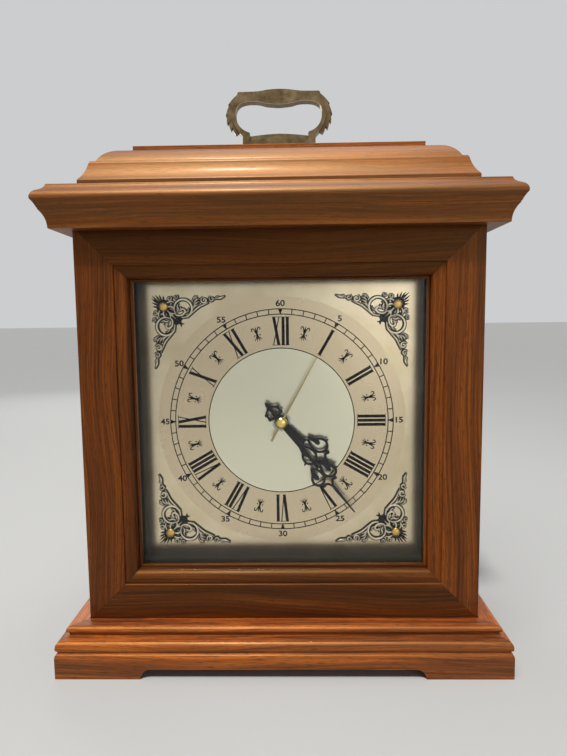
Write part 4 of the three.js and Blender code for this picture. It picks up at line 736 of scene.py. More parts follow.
def cut_arch(obj, node):
    """Leaves bracket feet at both ends of a plinth length."""
    half = CASE_HALF / MM
    if node == "plinth_front":
        reach = half + SKIRT_OUT - FRONT_FOOT
        tool = upright("arch", [scaled(arch_outline(-reach, reach))],
                       FACE - 20 * MM, FACE + 8 * MM)
    else:
        side = -1 if node.endswith("left") else 1
        depth = (CASE_BACK - FACE) / MM
        tool = upright("arch", [scaled(arch_outline(SIDE_FOOT - SKIRT_OUT, depth - SIDE_FOOT))],
                       -16 * MM, 16 * MM)
        middle = side * (half + (SKIRT_OUT - SKIRT_IN) / 2) * MM
        settle(tool, Matrix.Translation((middle, FACE, 0)) @ Matrix.Rotation(math.pi / 2, 4, "Z"))
    combine(obj, tool, "DIFFERENCE")


CORNICE_LOW = 281.2
COVE_TOP = CORNICE_LOW + 11.4
CORNICE_TOP = COVE_TOP + 14.6
CORNICE_IN = 25.0        # how far the cornice reaches in over the top board
ROOF_IN = 42.0           # the same for the roof


def cornice_section():
    low, top = CORNICE_LOW, CORNICE_TOP
    return trace(
        (CLEAR, low), (10.3, low), ((10.6, low), (10.6, low + 0.4)), (10.8, low + 2.6),
        ((11.4, low + 7.2), (14.4, low + 10.5)), (14.5, COVE_TOP - 0.4),
        ((14.5, COVE_TOP), (14.9, COVE_TOP + 0.1)), ((16.0, COVE_TOP + 2.9), (17.5, COVE_TOP + 4.5)),
        ((17.8, COVE_TOP + 4.9), (17.75, COVE_TOP + 6.0)),
        ((17.4, COVE_TOP + 8.9), (14.6, COVE_TOP + 10.3)),
        ((12.9, COVE_TOP + 11.1), (11.8, COVE_TOP + 12.1)),
        ((11.0, COVE_TOP + 12.9), (10.7, top - 0.5)), ((10.5, top), (9.9, top)), (-CORNICE_IN, top),
        (-CORNICE_IN, TOP_BOARD_TOP / MM), (CLEAR, TOP_BOARD_TOP / MM), pieces=10)


def roof_section():
    foot, top = CORNICE_TOP, ROOF_TOP / MM
    step = foot + 18.2
    return trace(
        (-ROOF_IN, foot), (-3.2, foot), (-3.2, foot + 4.8), ((-3.2, foot + 5.4), (-3.6, foot + 5.9)),
        ((-6.9, foot + 9.2), (-8.8, foot + 16.0)), ((-9.0, foot + 17.2), (-9.9, step - 0.2)),
        (-11.9, step), ((-12.2, step), (-12.3, step + 0.4)), ((-16.6, top - 1.6), (-26.5, top)),
        (-ROOF_IN, top), pieces=12)


# Frame section: (distance in from the outer edge, depth behind the face), in millimetres
BAND = 24.2
OPENING = 33.9
LIP = 8.0
GLASS = 11.0
REBATE = 5.3             # width of the rebate for the glass


def frame_section():
    start = BAND + 0.5
    end = start + 7.3
    bead = OPENING - 1.5
    thick = (DIAL_FRONT - FACE) / MM + 0.8
    return trace(
        (0, 0.8), ((0.05, 0.05), (0.8, 0)), (BAND - 1.1, 0), ((BAND, 0.1), (BAND, 1.1)), (BAND, 1.9),
        (start, 1.9), ((start + 5.8, 2.0), (end - 0.2, 5.6)), ((end, 6.5), (end, 7.6)),
        (bead, LIP + 0.5), (bead, LIP + 0.2), ((bead, LIP), (bead + 0.2, LIP)),
        (OPENING - 0.3, LIP), ((OPENING, LIP), (OPENING, LIP + 0.3)), (OPENING, GLASS),
        (OPENING - REBATE, GLASS), (OPENING - REBATE, thick), (0, thick), pieces=12)


def frame_members():
    gap = MITRE_GAP / 2
    section = frame_section()

    def member(name, inwards, along, place, ends, grain, tone_and_painted_light):
        obj = bar(name + "_moulding", section, 2 * CASE_HALF + SPARE, [inwards, (0, 1, 0), along], place)
        for point, normal in ends:
            sawn(obj, point, normal)
        smooth(obj)
        shown(obj, "root", "case_wood", next_wood(grain, tone_and_painted_light, FRAME_SHEEN), name)

    for side, name, tone_and_painted_light in ((-1, "frame_stile_left", 1.15), (1, "frame_stile_right", 1.35)):
        edge = side * CASE_HALF
        member(name, (-side, 0, 0), (0, 0, 1), (edge, FACE, DIAL_Z),
               [((edge, FACE, FRAME_HIGH - gap), (-side, 0, 1)),
                ((edge, FACE, FRAME_LOW + gap), (-side, 0, -1))], "z", tone_and_painted_light)
    # The top rail's low tone is partly painted shade, the shadow of the cornice above it.
    for up, edge, name, tone_and_painted_light in ((1, FRAME_LOW, "frame_rail_bottom", 0.80),
                                 (-1, FRAME_HIGH, "frame_rail_top", 0.75)):
        member(name, (0, 0, up), (1, 0, 0), (0, FACE, edge),
               [((CASE_HALF - gap, FACE, edge), (1, 0, up)),
                ((-CASE_HALF + gap, FACE, edge), (-1, 0, up))], "x", tone_and_painted_light)


def case_boards():
    # The roof plate's high tone is partly painted light, so that it looks brightly lit from above.
    for node, grain, width, tone_and_painted_light in (
            ("plinth_back", "x", 0.5, 1.6), ("base_board", "x", 0.4, 1.0), ("top_board", "x", 0.4, 1.0),
            ("side_panel_left", "z", 0.5, 1.2), ("side_panel_right", "z", 0.5, 1.2),
            ("roof_back", "x", 0.4, 1.2), ("roof_plate", "x", 0.6, 2.4), ("rear_door", "z", 0.6, 1.3)):
        refined(node, width * MM, "case_wood", next_wood(grain, tone_and_painted_light, BOARD_SHEEN))


# ---------------------------------------------------------------- dial

INK = 0.05 * MM          # thickness of the printing
TRACK_OUTER = 75.7
TRACK_INNER = 72.2
NUMERAL_LOW = 51.4
NUMERAL_HIGH = 70.5
SERIF = 0.4              # height of the cross strokes
BAR_WIDE = 2.0
ROMAN_WIDE = {"I": 2.85, "V": 6.2, "X": 6.4}
HAIR = 0.68              # thin strokes of the numerals
LINE = 0.64              # lines of the minute track
MINUTE_FIGURE_R = 79.3
FIGURE_SIZE = 5.4


def at_clock(x, y, angle):
    """A point of an upright drawing, turned clockwise about the dial's middle."""
    c, s = math.cos(angle), math.sin(angle)
    return (x * c + y * s, -x * s + y * c)


def printed(name, shapes):
    """Flat ink shapes in dial millimetres. Each shape is a list of loops."""
    parts = [slab(name, [scaled(loop) for loop in loops], INK) for loops in shapes]
    obj = joined(name, parts)
    place = Matrix.Translation((0, DIAL_FRONT - INK / 2, DIAL_Z))
    settle(obj, place @ Matrix.Rotation(math.pi / 2, 4, "X"))
    return shown(obj, "root", "hand_black", print_ink(name + "_ink"))


def ring(radius, width):
    return [circle(0, 0, radius + side * width / 2, 180) for side in (1, -1)]


def minute_track():
    shapes = [ring(radius, LINE) for radius in (TRACK_OUTER, TRACK_INNER, MIRROR_R)]
    for minute in range(60):
        angle = math.radians(6 * minute)
        if minute % 5:
            mark = oblong(-LINE / 2, TRACK_INNER, LINE / 2, TRACK_OUTER)
        else:
            mark = [(0, TRACK_INNER - 0.6), (1.6, TRACK_OUTER + 0.3), (-1.6, TRACK_OUTER + 0.3)]
        shapes.append([[at_clock(x, y, angle) for x, y in mark]])
    return printed("minute_track", shapes)


def serif(x, half, low):
    return oblong(x - half, low, x + half, low + SERIF)


def slanted(high_x, low_x, width):
    half = width / 2
    return [(high_x - half, NUMERAL_HIGH), (high_x + half, NUMERAL_HIGH),
            (low_x + half, NUMERAL_LOW), (low_x - half, NUMERAL_LOW)]


def roman(text):
    """Strokes of a roman numeral, centred on the hour's line."""
    x = -sum(ROMAN_WIDE[letter] for letter in text) / 2
    strokes = []
    for letter in text:
        middle = x + ROMAN_WIDE[letter] / 2
        if letter == "I":
            strokes.append(slanted(middle, middle, BAR_WIDE))
            low_half = high_half = BAR_WIDE / 2 + 0.5
        elif letter == "V":
            strokes += [slanted(middle - 1.9, middle + 0.2, BAR_WIDE),
                        slanted(middle + 2.1, middle + 0.5, HAIR)]
            low_half, high_half = 1.1, 2.9
        else:
            strokes += [slanted(middle - 1.7, middle + 1.7, BAR_WIDE),
                        slanted(middle + 1.9, middle - 1.9, HAIR)]
            low_half = high_half = 2.9
        strokes.append(serif(middle, low_half, NUMERAL_LOW))
        strokes.append(serif(middle, high_half, NUMERAL_HIGH - SERIF))
        x += ROMAN_WIDE[letter]
    return strokes


def hour_numerals():
    numerals = ["XII", "I", "II", "III", "IIII", "V", "VI", "VII", "VIII", "IX", "X", "XI"]
    shapes = []
    for hour, text in enumerate(numerals):
        for stroke in roman(text):
            shapes.append([[at_clock(x, y, math.radians(30 * hour)) for x, y in stroke]])
    return printed("hour_numerals", shapes)


def half_hour_marks():
    """A small lily between every two hours: three petals, a knot and four roots."""
    middle = (NUMERAL_LOW + NUMERAL_HIGH) / 2
    mark = [circle(0, -0.7, 0.8, 12), brushed([(0, -0.4), (0, 2.2), (0, 5.0)], 0.6, 1.25, 0.15)]
    petal = [(0.25, -0.2), (0.85, 2.2), (1.6, 4.1), (2.6, 4.2), (3.0, 3.0), (2.5, 2.3)]
    inner_root = [(0.1, -1.2), (0.5, -2.9), (1.0, -4.8)]
    outer_root = [(0.3, -1.0), (1.3, -2.6), (2.5, -3.9)]
    for side in (-1, 1):
        for line, *widths in ((petal, 0.5, 0.75, 0.7, 0.35), (inner_root, 0.5, 0.7, 0.3),
                              (outer_root, 0.4, 0.65, 0.3)):
            mark.append(brushed([(side * x, y) for x, y in line], *widths))
        mark.append(circle(side * 1.8, -0.8, 0.5, 10))
    shapes = []
    for i in range(12):
        angle = math.radians(15 + 30 * i)
        for outline in mark:
            shapes.append([[at_clock(x, y + middle, angle) for x, y in outline]])
    return printed("half_hour_marks", shapes)


def minute_figures():
    parts = []
    for i in range(12):
        bpy.ops.object.text_add(location=(0, 0, 0))
        text = bpy.context.object
        text.data.body = str(5 * i or 60)
        text.data.size = FIGURE_SIZE * MM
        text.data.align_x = "CENTER"
        text.data.align_y = "CENTER"
        text.data.extrude = INK / 2
        text.data.offset = 0.14 * MM
        only(text)
        bpy.ops.object.convert(target="MESH")
        bpy.context.object.scale.x = 1.15
        bpy.ops.object.transform_apply(location=False, rotation=False, scale=True)
        x, z = at_clock(0, MINUTE_FIGURE_R * MM, math.radians(30 * i))
        place = Matrix.Translation((x, DIAL_FRONT - INK / 2, DIAL_Z + z))
        parts.append(settle(bpy.context.object, place @ Matrix.Rotation(math.pi / 2, 4, "X")))
    obj = joined("minute_figures", parts)
    return shown(obj, "root", "hand_black", print_ink("minute_figures_ink"))


# ---------------------------------------------------------------- corner ornaments

CORNER = 86.0            # from the dial's middle to the ornament's outer corner, in millimetres
BOSS_AT = 8.0
BOSS_R = 3.0
RELIEF = 1.15            # height of a strand's middle line over the dial
SUNK = 0.35              # the same for a blackened strand
FLATNESS = 0.85          # height of a strand over its width


def strand(points, radii, height=RELIEF):
    """A rounded strand along points in the ornament's own u and v."""
    curve = bpy.data.curves.new("strand", "CURVE")
    curve.dimensions = "3D"
    curve.bevel_depth = MM
    curve.bevel_resolution = 1
    curve.use_fill_caps = True
    obj = meshed(curve, [[(u * MM, v * MM, r) for (u, v), r in zip(points, radii)]], closed=False)
    obj.scale.z = FLATNESS
    obj.location.z = height * MM
    return settle(obj)


def bow(start, end, sag, count=7):
    """A curved line between two points, bulging to its left by sag."""
    (ax, ay), (bx, by) = start, end
    length = math.hypot(bx - ax, by - ay)
    nx, ny = -(by - ay) / length, (bx - ax) / length
    out = []
    for i in range(count):
        t = i / (count - 1)
        lift = sag * math.sin(math.pi * t)
        out.append((ax + (bx - ax) * t + nx * lift, ay + (by - ay) * t + ny * lift))
    return out


def arm_strands():
    """Strands of the arm along u. The other arm is its mirror image."""
    out = [
        # rim of the large scroll, and the leaf curled inside it
        (spiral(21.2, 9.3, 6.0, 6.0, 150, 0.86, 26), 0.5, 0.95, 0.55),
        (flowing([(15.6, 12.6), (17.6, 14.0), (21.0, 13.4), (22.6, 11.0), (20.9, 9.6), (19.6, 10.8)]),
         0.55, 0.8, 0.6),
        (flowing([(17.2, 11.6), (18.0, 9.8), (17.4, 7.6), (18.6, 5.8)]), 0.5, 0.7, 0.2),
        (flowing([(18.8, 11.2), (19.6, 9.2), (19.4, 7.8)]), 0.4, 0.5, 0.15),
        (flowing([(22.6, 12.2), (24.6, 11.0), (25.2, 8.8)]), 0.5, 0.5, 0.15),
        # scrolls towards the tip
        (spiral(35.4, 4.1, 2.3, 1.0, 250, -0.95, 16), 0.45, 0.75, 0.65),
        (spiral(40.4, 3.2, 1.8, 0.8, 250, -0.95, 14), 0.4, 0.6, 0.5),
        (flowing([(42.2, 3.6), (44.2, 1.9), (45.6, 2.3)]), 0.35, 0.55, 0.2),
        (flowing([(43.2, 3.2), (46.4, 2.6), (49.6, 1.2)]), 0.3, 0.8, 0.12),
        # small scrolls on the outer edge
        (spiral(12.2, 2.6, 1.6, 0.6, -60, 0.95, 13), 0.45, 0.6, 0.5),
        (spiral(16.6, 1.7, 1.35, 0.5, -60, 0.95, 13), 0.4, 0.5, 0.45),
        (spiral(29.6, 2.0, 1.1, 0.45, -60, 0.95, 12), 0.35, 0.42, 0.4),
        # stalks from the boss, and the long inner edge
        (flowing([(10.6, 5.6), (13.0, 4.6), (15.6, 5.2)]), 0.5, 0.7, 0.35),
        (flowing([(11.0, 8.2), (13.4, 8.0), (15.2, 9.6)]), 0.5, 0.75, 0.4),
        (flowing([(23.8, 15.4), (27.4, 12.2), (31.6, 8.6), (36.0, 6.6), (38.6, 5.4)]), 0.4, 0.7, 0.3),
    ]
    # fan of blades between the scrolls
    for k, (start, end) in enumerate((((27.4, 10.4), (31.8, 7.0)), ((28.2, 8.4), (32.6, 4.9)),
                                      ((28.4, 6.3), (32.6, 3.0)), ((27.6, 4.4), (31.4, 1.6)))):
        out.append((bow(start, end, -0.9), 0.35, 0.72 - 0.04 * k, 0.25))
    return [(points, tapering(len(points), *radii)) for points, *radii in out]


def middle_strands():
    """The joining curls on the diagonal."""
    lines = [bow((11.4, 11.4), (14.4 + turn * 2.6, 14.4 - turn * 2.6), turn * 1.2) for turn in (-1, 1)]
    lines.append(bow((10.6, 10.6), (16.4, 16.4), 0.0))
    return [(points, tapering(len(points), 0.45, 0.65, 0.2)) for points in lines]


def sunk_strands():
    """Low, blackened strands: the tuft in the corner and the lobe between the two scrolls."""
    lobe, leaves = [], []
    for u, v in ((0.5, 0.5), (2.5, 0.1), (5.1, 0.2), (7.8, 0.8)):
        reach = math.hypot(u - BOSS_AT, v - BOSS_AT)
        near = tuple(BOSS_AT + (end - BOSS_AT) / reach * (BOSS_R + 0.7) for end in (u, v))
        leaves.append(bow(near, (u, v), 0.25))
        if u != v:
            leaves.append(bow(near[::-1], (v, u), -0.25))
    for turn in (-1, 1):
        lobe.append(bow((14.6, 14.6), (18.6 + 2.0 * turn, 18.6 - 2.0 * turn), turn * -0.7))
        lobe.append(bow((15.6, 15.6), (20.6 + 0.9 * turn, 20.6 - 0.9 * turn), turn * 0.9))
    lobe.append(bow((15.0, 15.0), (20.2, 20.2), 0.0))
    return ([(points, tapering(len(points), 0.55, 0.85, 0.3)) for points in lobe]
            + [(points, tapering(len(points), 0.35, 0.62, 0.12)) for points in leaves])


def boss():
    """Round boss with eight petals."""
    bpy.ops.mesh.primitive_uv_sphere_add(segments=24, ring_count=12, radius=BOSS_R * MM,
                                         location=(BOSS_AT * MM, BOSS_AT * MM, RELIEF * MM))
    dome = bpy.context.object
    dome.scale.z = 0.42
    parts = [settle(dome)]
    for i in range(8):
        a = math.radians(45 * i)
        near, far = 0.8, BOSS_R - 0.4
        ends = [(BOSS_AT + r * math.cos(a), BOSS_AT + r * math.sin(a)) for r in (near, far)]
        parts.append(strand(bow(*ends, 0.0), tapering(7, 0.3, 0.62, 0.4), height=RELIEF + 0.75))
    rim = spiral(BOSS_AT, BOSS_AT, BOSS_R + 0.5, BOSS_R + 0.5, 0, 1.0, 21)
    parts.append(strand(rim, [0.35] * 21, height=0.9))
    return parts


FLANGE = 0.5             # black foot that shows on both sides of a strand
FOOT = 0.7               # height of that foot


def foot(points, radii, index):
    """Flat casting skin under a strand. Heights differ a little so that no two lie in one plane."""
    thick = FOOT + 0.015 * (index % 9)
    outline = ribbon(points, [2 * (r + FLANGE) for r in radii])
    obj = slab("foot", [scaled(outline)], thick * MM)
    obj.location.z = thick / 2 * MM
    return settle(obj)


def round_foot(u, v, radius):
    thick = FOOT - 0.05
    obj = slab("foot", [scaled(circle(u, v, radius, 20))], thick * MM)
    obj.location.z = thick / 2 * MM
    return settle(obj)


def corner_ornaments():
    strands = arm_strands()
    parts = boss() + [round_foot(BOSS_AT, BOSS_AT, BOSS_R + 1.8)]
    mirrored = [([(v, u) for u, v in points], radii) for points, radii in strands]
    for i, (points, radii) in enumerate(strands + mirrored + middle_strands()):
        parts.append(strand(points, radii))
        parts.append(foot(points, radii, i))
    for points, radii in sunk_strands():
        parts.append(strand(points, radii, height=SUNK))
    for u, v, radius in ((16.8, 16.8, 3.2), (12.6, 12.6, 2.8), (30.0, 5.4, 2.4), (5.4, 30.0, 2.4),
                         (15.2, 6.6, 1.8), (6.6, 15.2, 1.8), (38.0, 4.0, 1.2), (4.0, 38.0, 1.2)):
        parts.append(round_foot(u, v, radius))
    casting = joined("casting", parts)
    finish = antique_brass("corner_brass", CORNER - BOSS_AT, BOSS_R + 0.3)
    stand = Matrix.Rotation(math.pi / 2, 4, "X")
    seat = Matrix.Translation((0, DIAL_FRONT, DIAL_Z))
    corner = Matrix.Translation((-CORNER * MM, -CORNER * MM, 0))
    for i, name in enumerate(("bottom_left", "top_left", "top_right", "bottom_right")):
        obj = copy_of(casting, f"spandrel_{name}_relief")
        settle(obj, seat @ Matrix.Rotation(i * math.pi / 2, 4, "Y") @ stand @ corner)
        smooth(obj, 50)
        shown(obj, "root", "cast_brass", finish, f"spandrel_{name}")
    bpy.data.objects.remove(casting)


# ---------------------------------------------------------------- hands

MINUTE_TURN = math.radians(23.6 * 6)
HOUR_TURN = math.radians((4 + 23.6 / 60) * 30)
SECOND_TURN = math.radians(4.8 * 6)
HAND_THICK = 0.8 * MM
STROKE = 1.45            # widens the drawn strokes of the scrolls


def scroll_pair(middle, size, ball):
    """The pierced part of a hand: two scrolls with their balls, spurs, knobs and joining arms.

    middle is where the scrolls' middles lie along the hand, ball is where their balls do.
    """
    strokes = [
        ([(5.2, -9.9), (3.5, -8.7), (2.2, -7.2), (1.1, -4.9), (0.55, -1.4), (0.95, 1.6), (3.2, 4.1),
          (6.1, 4.8), (8.6, 3.6), (9.9, 1.0), (9.3, -2.2), (7.5, -4.3), (5.6, -5.0)],
         0.4, 1.15, 1.1, 1.15, 1.15, 1.15),
        ([(5.2, -9.9), (5.0, -7.6), (5.6, -5.0), (5.6, ball)], 0.3, 1.9, 2.2, 2.3),
        ([(9.6, 0.8), (12.3, 1.3)], 1.7, 0.3),
        ([(4.9, 4.6), (5.1, 6.6)], 1.3, 1.3),
        ([(5.1, 6.6), (3.0, 6.8), (1.4, 8.2), (0.35, 10.9)], 1.5, 1.2, 1.1, 0.9),
    ]
    solids = []
    for side in (-1, 1):
        for line, *widths in strokes:
            solids.append(brushed([(side * x * size, middle + y * size) for x, y in line],
                                  *[w * STROKE for w in widths]))
        for x, y, radius in ((5.6, ball, 1.5), (5.1, 6.7, 1.5)):
            solids.append(circle(side * x * size, middle + y * size, radius * size, 18))
    return solids


LAYER = 0.012 * MM       # step in depth from one stroke to the next
PRESS_EDGE = 0.06 * MM


def pressed_hand(node, strokes, turn):
    """Sheet-metal hand of overlapping strokes. Points are (side, along)."""
    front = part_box(node)[0].y
    plates = []
    for i, loop in enumerate(strokes):
        step = LAYER * (i % 7)
        plates.append(upright(node + "_stroke", [scaled(loop)], front + step, front + HAND_THICK - step,
                              PRESS_EDGE))
    hand = joined(node + "_pierced", plates)
    settle(hand, Matrix.Translation((0, 0, DIAL_Z)) @ Matrix.Rotation(turn, 4, "Y"))
    smooth(hand, 40)
    apply_modifier(hand, "WEIGHTED_NORMAL", keep_sharp=True)
    return shown(hand, body_of(node), "hand_black", black_enamel(node + "_enamel"), node)


def hour_hand():
    stem = both_sides([(2.2, 0), (2.2, 19.2), (2.6, 20.2), (1.6, 20.9)])
    pointer = both_sides([(0.6, 39.6), (0.8, 41.2), (1.3, 43.4), (1.1, 45.6), (0.5, 48.4), (0, 50.6)])
    solids = [circle(0, 0, 4.7, 36), stem, pointer] + scroll_pair(30.0, 1.0, -2.3)
    for side in (-1, 1):
        solids.append(brushed([(side * 2.0, 20.0), (side * 2.3, 21.6), (side * 2.1, 23.2)], 1.1, 1.1, 1.1))
    return pressed_hand("hour_hand", solids, HOUR_TURN)


def minute_hand():
    stem = both_sides([(1.2, -12.4), (1.3, -8.6), (2.0, -4.0), (2.0, 3.0), (1.6, 20.0), (1.05, 34.4),
                       (1.35, 37.8), (1.0, 39.8)])
    pointer = both_sides([(0.8, 54.4), (1.15, 57.6), (0.95, 63.0), (0.4, 78.8)])
    tail = both_sides([(0, -17.8), (0.7, -16.6), (1.5, -15.0), (1.3, -13.8), (2.2, -13.2),
                       (1.5, -12.2), (0.8, -12.0)])
    solids = [circle(0, 0, 4.0, 32), stem, pointer, tail] + scroll_pair(45.6, 0.90, -1.1)
    for side in (-1, 1):
        solids += [brushed([(side * 0.8, -12.2), (side * 3.0, -11.6), (side * 4.6, -10.0)], 1.4, 1.3, 1.6),
                   circle(side * 4.6, -9.9, 1.35, 16), circle(side * 4.4, -6.4, 1.5, 16),
                   brushed([(side * 4.5, -10.0), (side * 4.4, -6.4), (side * 1.2, -5.2)], 1.3, 1.6, 2.2)]
    return pressed_hand("minute_hand", solids, MINUTE_TURN)


def second_hand():
    """Tapering blade with a domed cap."""
    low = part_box("second_hand")[0]
    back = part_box("minute_hand")[0].y - 1.0 * MM
    blade_front = back - 0.4 * MM
    blade = upright("blade", [scaled([(-0.8, -14), (0.8, -14), (0.36, 50), (-0.36, 50)])],
                    blade_front, back, 0.08 * MM)
    bpy.ops.mesh.primitive_uv_sphere_add(segments=40, ring_count=20, radius=CAP_R * MM,
                                         location=(0, 0, 0))
    cap = bpy.context.object
    in_edit(cap, lambda: bpy.ops.mesh.bisect(plane_co=(0, 0, 0), plane_no=(0, 0, -1),
                                             use_fill=True, clear_outer=True))
    cap.scale.z = (blade_front - low.y) / (CAP_R * MM)
    settle(cap, Matrix.Translation((0, blade_front, 0)) @ Matrix.Rotation(math.pi / 2, 4, "X")
           @ Matrix.Diagonal((1, 1, cap.scale.z, 1)))
    hand = joined("second_hand_blade", [blade, cap])
    settle(hand, Matrix.Translation((0, 0, DIAL_Z)) @ Matrix.Rotation(SECOND_TURN, 4, "Y"))
    smooth(hand, 40)
    return shown(hand, "second_hand", "bright_brass", hand_brass("second_hand_brass"), "second_hand")


# ---------------------------------------------------------------- handle

FRONT_THICK = 3.0        # the plain front casting, in millimetres; the leaves stand out behind it
OVERLAP = 0.8


def handle_outline(edge):
    crown = trace((0, 43.7), ((5, 43.6), (9, 43.1)), ((13.5, 42.2), (18, 42.1)), (27.6, 42.0), pieces=6)
    return both_sides(crown + edge + [(25.3, 12.2), (25.3, 0.0)])


def handle_loop(bar_side, bar_middle):
    return both_sides(trace(
        (0, 33.6), ((5, 33.8), (9.5, 34.5)), ((13.5, 35.9), (17, 35.9)), (20.5, 35.9),
        ((29.9, 35.4), (29.9, 27.8)), ((29.8, 17.6), (20.6, 15.0)), (20.2, 13.8),
        (20.2, bar_side), ((9, bar_middle - 0.2), (0, bar_middle)), pieces=10))


def handle():
    smooth_edge = trace((28.3, 41.6), ((29.6, 38.0), (30.8, 35.2)), ((33.3, 29.6), (32.9, 26.5)),
                        ((32.7, 22.0), (27.8, 15)), (25.6, 13.0), pieces=8)
    leaves = [(28.3, 41.8)]
    for (bx, by), (tx, ty), (nx, ny) in (
            ((32.8, 38.6), (35.3, 34.6), (33.9, 35.8)), ((36.2, 31.8), (37.1, 27.4), (35.6, 28.8)),
            ((36.8, 25.4), (36.3, 21.8), (34.7, 23.6)), ((35.4, 20.6), (33.9, 17.6), (32.3, 19.6)),
            ((32.4, 17.0), (30.4, 14.8), (28.5, 16.0))):
        leaves += trace(leaves[-1], ((bx, by), (tx, ty)), (nx, ny), pieces=5)[1:]
    leaves.append((25.9, 13.4))
    rise = Matrix.Translation((0, 0, PLATE_TOP))
    middle = HANDLE_FRONT + FRONT_THICK * MM
    front = upright("handle_front", [scaled(handle_outline(smooth_edge)), scaled(handle_loop(9.4, 11.3))],
                    HANDLE_FRONT, middle + OVERLAP * MM)
    ease(front, 0.7 * MM, segments=3, degrees=35)
    back = upright("handle_leaves", [scaled(handle_outline(leaves)), scaled(handle_loop(13.2, 14.8))],
                   middle, HANDLE_BACK)
    obj = combine(settle(front, rise), settle(back, rise), "UNION")
    obj.name = "handle_casting"
    ease(obj, 0.3 * MM, degrees=35)
    return shown(obj, "root", "cast_brass", cast_brass("handle_brass"), "handle")


# ---------------------------------------------------------------- nodes that keep their own shape


def dress(node, material):
    obj = frame["nodes"][node]
    obj.data.materials.clear()
    obj.data.materials.append(material)


def dress_nodes():
    black = moulded_plastic("movement_plastic", (0.030, 0.030, 0.033))
    white = moulded_plastic("wheel_plastic", (0.78, 0.76, 0.68), 0.38)
    brass = polished_brass("hinge_brass", (0.72, 0.50, 0.20), 0.2)
    steel = bare_steel("bare_steel")
    finishes = {
        "glass_pane": ("clear_glass", clear_glass("dial_glass")),
        "dial_plate": ("dial_brass", dial_brass("dial_sheet_brass")),
        "dial_board": ("dial_board", fibre_sheet(
            "dial_hardboard", 1.2, (0.09, 0.045, 0.02), (0.19, 0.10, 0.05), 0.65, 0.4, 0.1)),
        "dial_spacer": ("inner_wood", raw_wood("spacer_wood", 5.0)),
        "dial_nut": ("steel", steel), "cannon_pinion": ("bright_brass", brass),
        "contact_plus": ("bright_brass", brass), "contact_minus": ("bright_brass", brass),
        "hinge_pin": ("steel", steel), "handle_screw_left": ("steel", steel),
        "handle_screw_right": ("steel", steel), "stator": ("steel", steel), "rotor": ("steel", steel),
        "coil": ("copper_wire", wound_copper("coil_wire")),
        "circuit_board": ("circuit_board", circuit_green("circuit_green")),
        "speaker": ("speaker_paper", fibre_sheet(
            "speaker_cone", 0.8, (0.012, 0.011, 0.010), (0.05, 0.046, 0.042), 0.7, 0.5, 0.12)),
        "battery": ("battery_wrap", battery_wrap("battery_sleeve")),
    }
    for node in ("hour_wheel", "minute_wheel", "centre_wheel", "third_wheel", "second_wheel",
                 "intermediate_wheel"):
        finishes[node] = ("white_plastic", white)
    for node, (slot, material) in finishes.items():
        dress(node, material)
    for node, width in (("movement_front", 0.4), ("movement_back", 0.35), ("setting_knob", 0.25),
                        ("volume_knob", 0.4)):
        refined(node, width * MM, "black_plastic", black, degrees=40)
    refined("chime_selector", 0.3 * MM, "white_plastic", white)
    for node in ("hinge_case_leaf", "hinge_door_leaf"):
        refined(node, 0.12 * MM, "bright_brass", brass, degrees=50, segments=1)
    refined("turn_button", 0.35 * MM, "bright_brass", polished_brass("button_brass"), degrees=45)


# ---------------------------------------------------------------- studio

FLOOR_COLOUR = (0.40, 0.41, 0.42)
BACKDROP = (0.60, 0.61, 0.62)


def floor():
    bpy.ops.mesh.primitive_plane_add(size=60.0, location=(0, 0, 0))
    obj = bpy.context.object
    obj.name = "floor"
    f = Finish("floor_paint", roughness=0.75)
    cloud = f.noise(f.x / 500, f.y / 500, 0.0)
    f.set("Base Color", f.mix(cloud, tuple(c * 0.96 for c in FLOOR_COLOUR), FLOOR_COLOUR))
    obj.data.materials.append(f.material)


def world(ambient):
    """Warm soft light all round. The camera, mirrors and glass see a plain backdrop instead."""
    made = bpy.data.worlds.new("studio")
    bpy.context.scene.world = made
    made.use_nodes = True
    tree = made.node_tree
    tree.nodes.clear()

    def background(colour, strength):
        node = tree.nodes.new("ShaderNodeBackground")
        node.inputs[0].default_value = (*colour, 1.0)
        node.inputs[1].default_value = strength
        return node.outputs[0]

    def either(first, second):
        node = tree.nodes.new("ShaderNodeMath")
        node.operation = "ADD"
        node.use_clamp = True
        tree.links.new(first, node.inputs[0])
        tree.links.new(second, node.inputs[1])
        return node.outputs[0]

    path = tree.nodes.new("ShaderNodeLightPath").outputs
    seen = either(either(path["Is Camera Ray"], path["Is Glossy Ray"]), path["Is Transmission Ray"])
    mix = tree.nodes.new("ShaderNodeMixShader")
    tree.links.new(seen, mix.inputs[0])
    tree.links.new(background((1.0, 0.98, 0.95), ambient), mix.inputs[1])
    tree.links.new(background(BACKDROP, 1.0), mix.inputs[2])
    out = tree.nodes.new("ShaderNodeOutputWorld")
    tree.links.new(mix.outputs[0], out.inputs["Surface"])


def lamp(name, place, target, size, watts, colour=(1.0, 0.97, 0.92)):
    bpy.ops.object.light_add(type="AREA", location=place)
    obj = bpy.context.object
    obj.name = name
    obj.data.shape = "DISK"
    obj.data.size = size
    obj.data.energy = watts
    obj.data.color = colour
    obj.visible_camera = False
    obj.rotation_euler = (Vector(target) - Vector(place)).to_track_quat("-Z", "Y").to_euler()


def sun(name, direction, strength, spread, colour):
    """A far soft light that shines along the direction."""
    bpy.ops.object.light_add(type="SUN", location=(0, 0, 2))
    obj = bpy.context.object
    obj.name = name
    obj.data.energy = strength
    obj.data.angle = math.radians(spread)
    obj.data.color = colour
    obj.rotation_euler = Vector(direction).to_track_quat("-Z", "Y").to_euler()


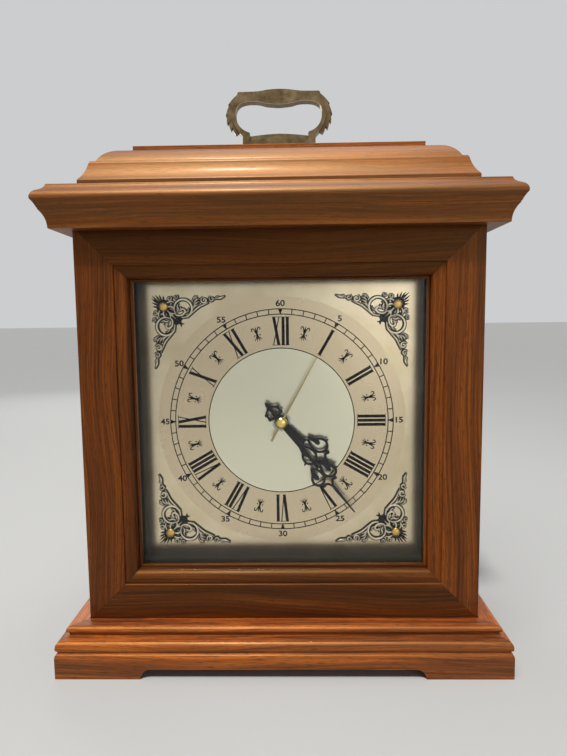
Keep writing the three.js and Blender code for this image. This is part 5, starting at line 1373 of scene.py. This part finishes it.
CAMERA_AT = (0.00901, -0.406355, 0.22463)
CAMERA_PITCH = math.radians(5.737)      # looking down
CAMERA_YAW = math.radians(-1.105)       # turned a little to the left
CAMERA_ROLL = math.radians(-0.664)
PHOTO_SIZE = (567, 756)
FOCAL_PIXELS = 568.09
SENSOR = 36.0


def camera():
    bpy.ops.object.camera_add(location=CAMERA_AT)
    obj = bpy.context.object
    obj.name = "camera"
    forward = Vector((math.sin(CAMERA_YAW) * math.cos(CAMERA_PITCH),
                      math.cos(CAMERA_YAW) * math.cos(CAMERA_PITCH), -math.sin(CAMERA_PITCH)))
    level = Vector((math.cos(CAMERA_YAW), -math.sin(CAMERA_YAW), 0.0))
    above = level.cross(forward)
    right = math.cos(CAMERA_ROLL) * level + math.sin(CAMERA_ROLL) * above
    up = -math.sin(CAMERA_ROLL) * level + math.cos(CAMERA_ROLL) * above
    turn = Matrix((right, up, -forward)).transposed()
    obj.matrix_world = Matrix.Translation(CAMERA_AT) @ turn.to_4x4()
    obj.data.sensor_fit = "VERTICAL"
    obj.data.sensor_height = SENSOR
    obj.data.lens = FOCAL_PIXELS / PHOTO_SIZE[1] * SENSOR
    obj.data.clip_start = 0.01
    bpy.context.scene.camera = obj


# ---------------------------------------------------------------- the clock

camera()
world(0.13)
floor()
sun("key", (0.10, 0.42, -0.90), 3.1, 6.0, (1.0, 0.97, 0.92))
lamp("near_key", (-0.13, -0.42, 1.02), (0, -0.05, 0.20), 0.50, 4.0)
lamp("top", (0.0, 0.15, 1.30), (0, 0, 0.3), 0.8, 5.0)
lamp("fill", (0.9, -1.2, 0.5), (0, 0, 0.18), 0.8, 1.6, (0.95, 0.97, 1.0))
lamp("card", (0.50, -1.35, 0.30), (0, 0, 0.18), 0.8, 1.0)
lamp("rear_fill", (-0.7, 1.3, 0.7), (0, 0, 0.2), 0.7, 3.0)

# The tones of plinth, cornice and roof are partly painted light, raised so that their mouldings look
# brightly lit from above.
moulding_set(("plinth_front", "plinth_left", "plinth_right"), plinth_section(), 2.7, cut_arch)
moulding_set(("cornice_front", "cornice_left", "cornice_right"), cornice_section(), 1.3)
moulding_set(("roof_front", "roof_left", "roof_right"), roof_section(), 1.35)
frame_members()
case_boards()
minute_track()
hour_numerals()
half_hour_marks()
minute_figures()
corner_ornaments()
hour_hand()
minute_hand()
second_hand()
handle()
dress_nodes()

bpy.context.scene.view_settings.view_transform = "Standard"
bpy.context.view_layer.update()
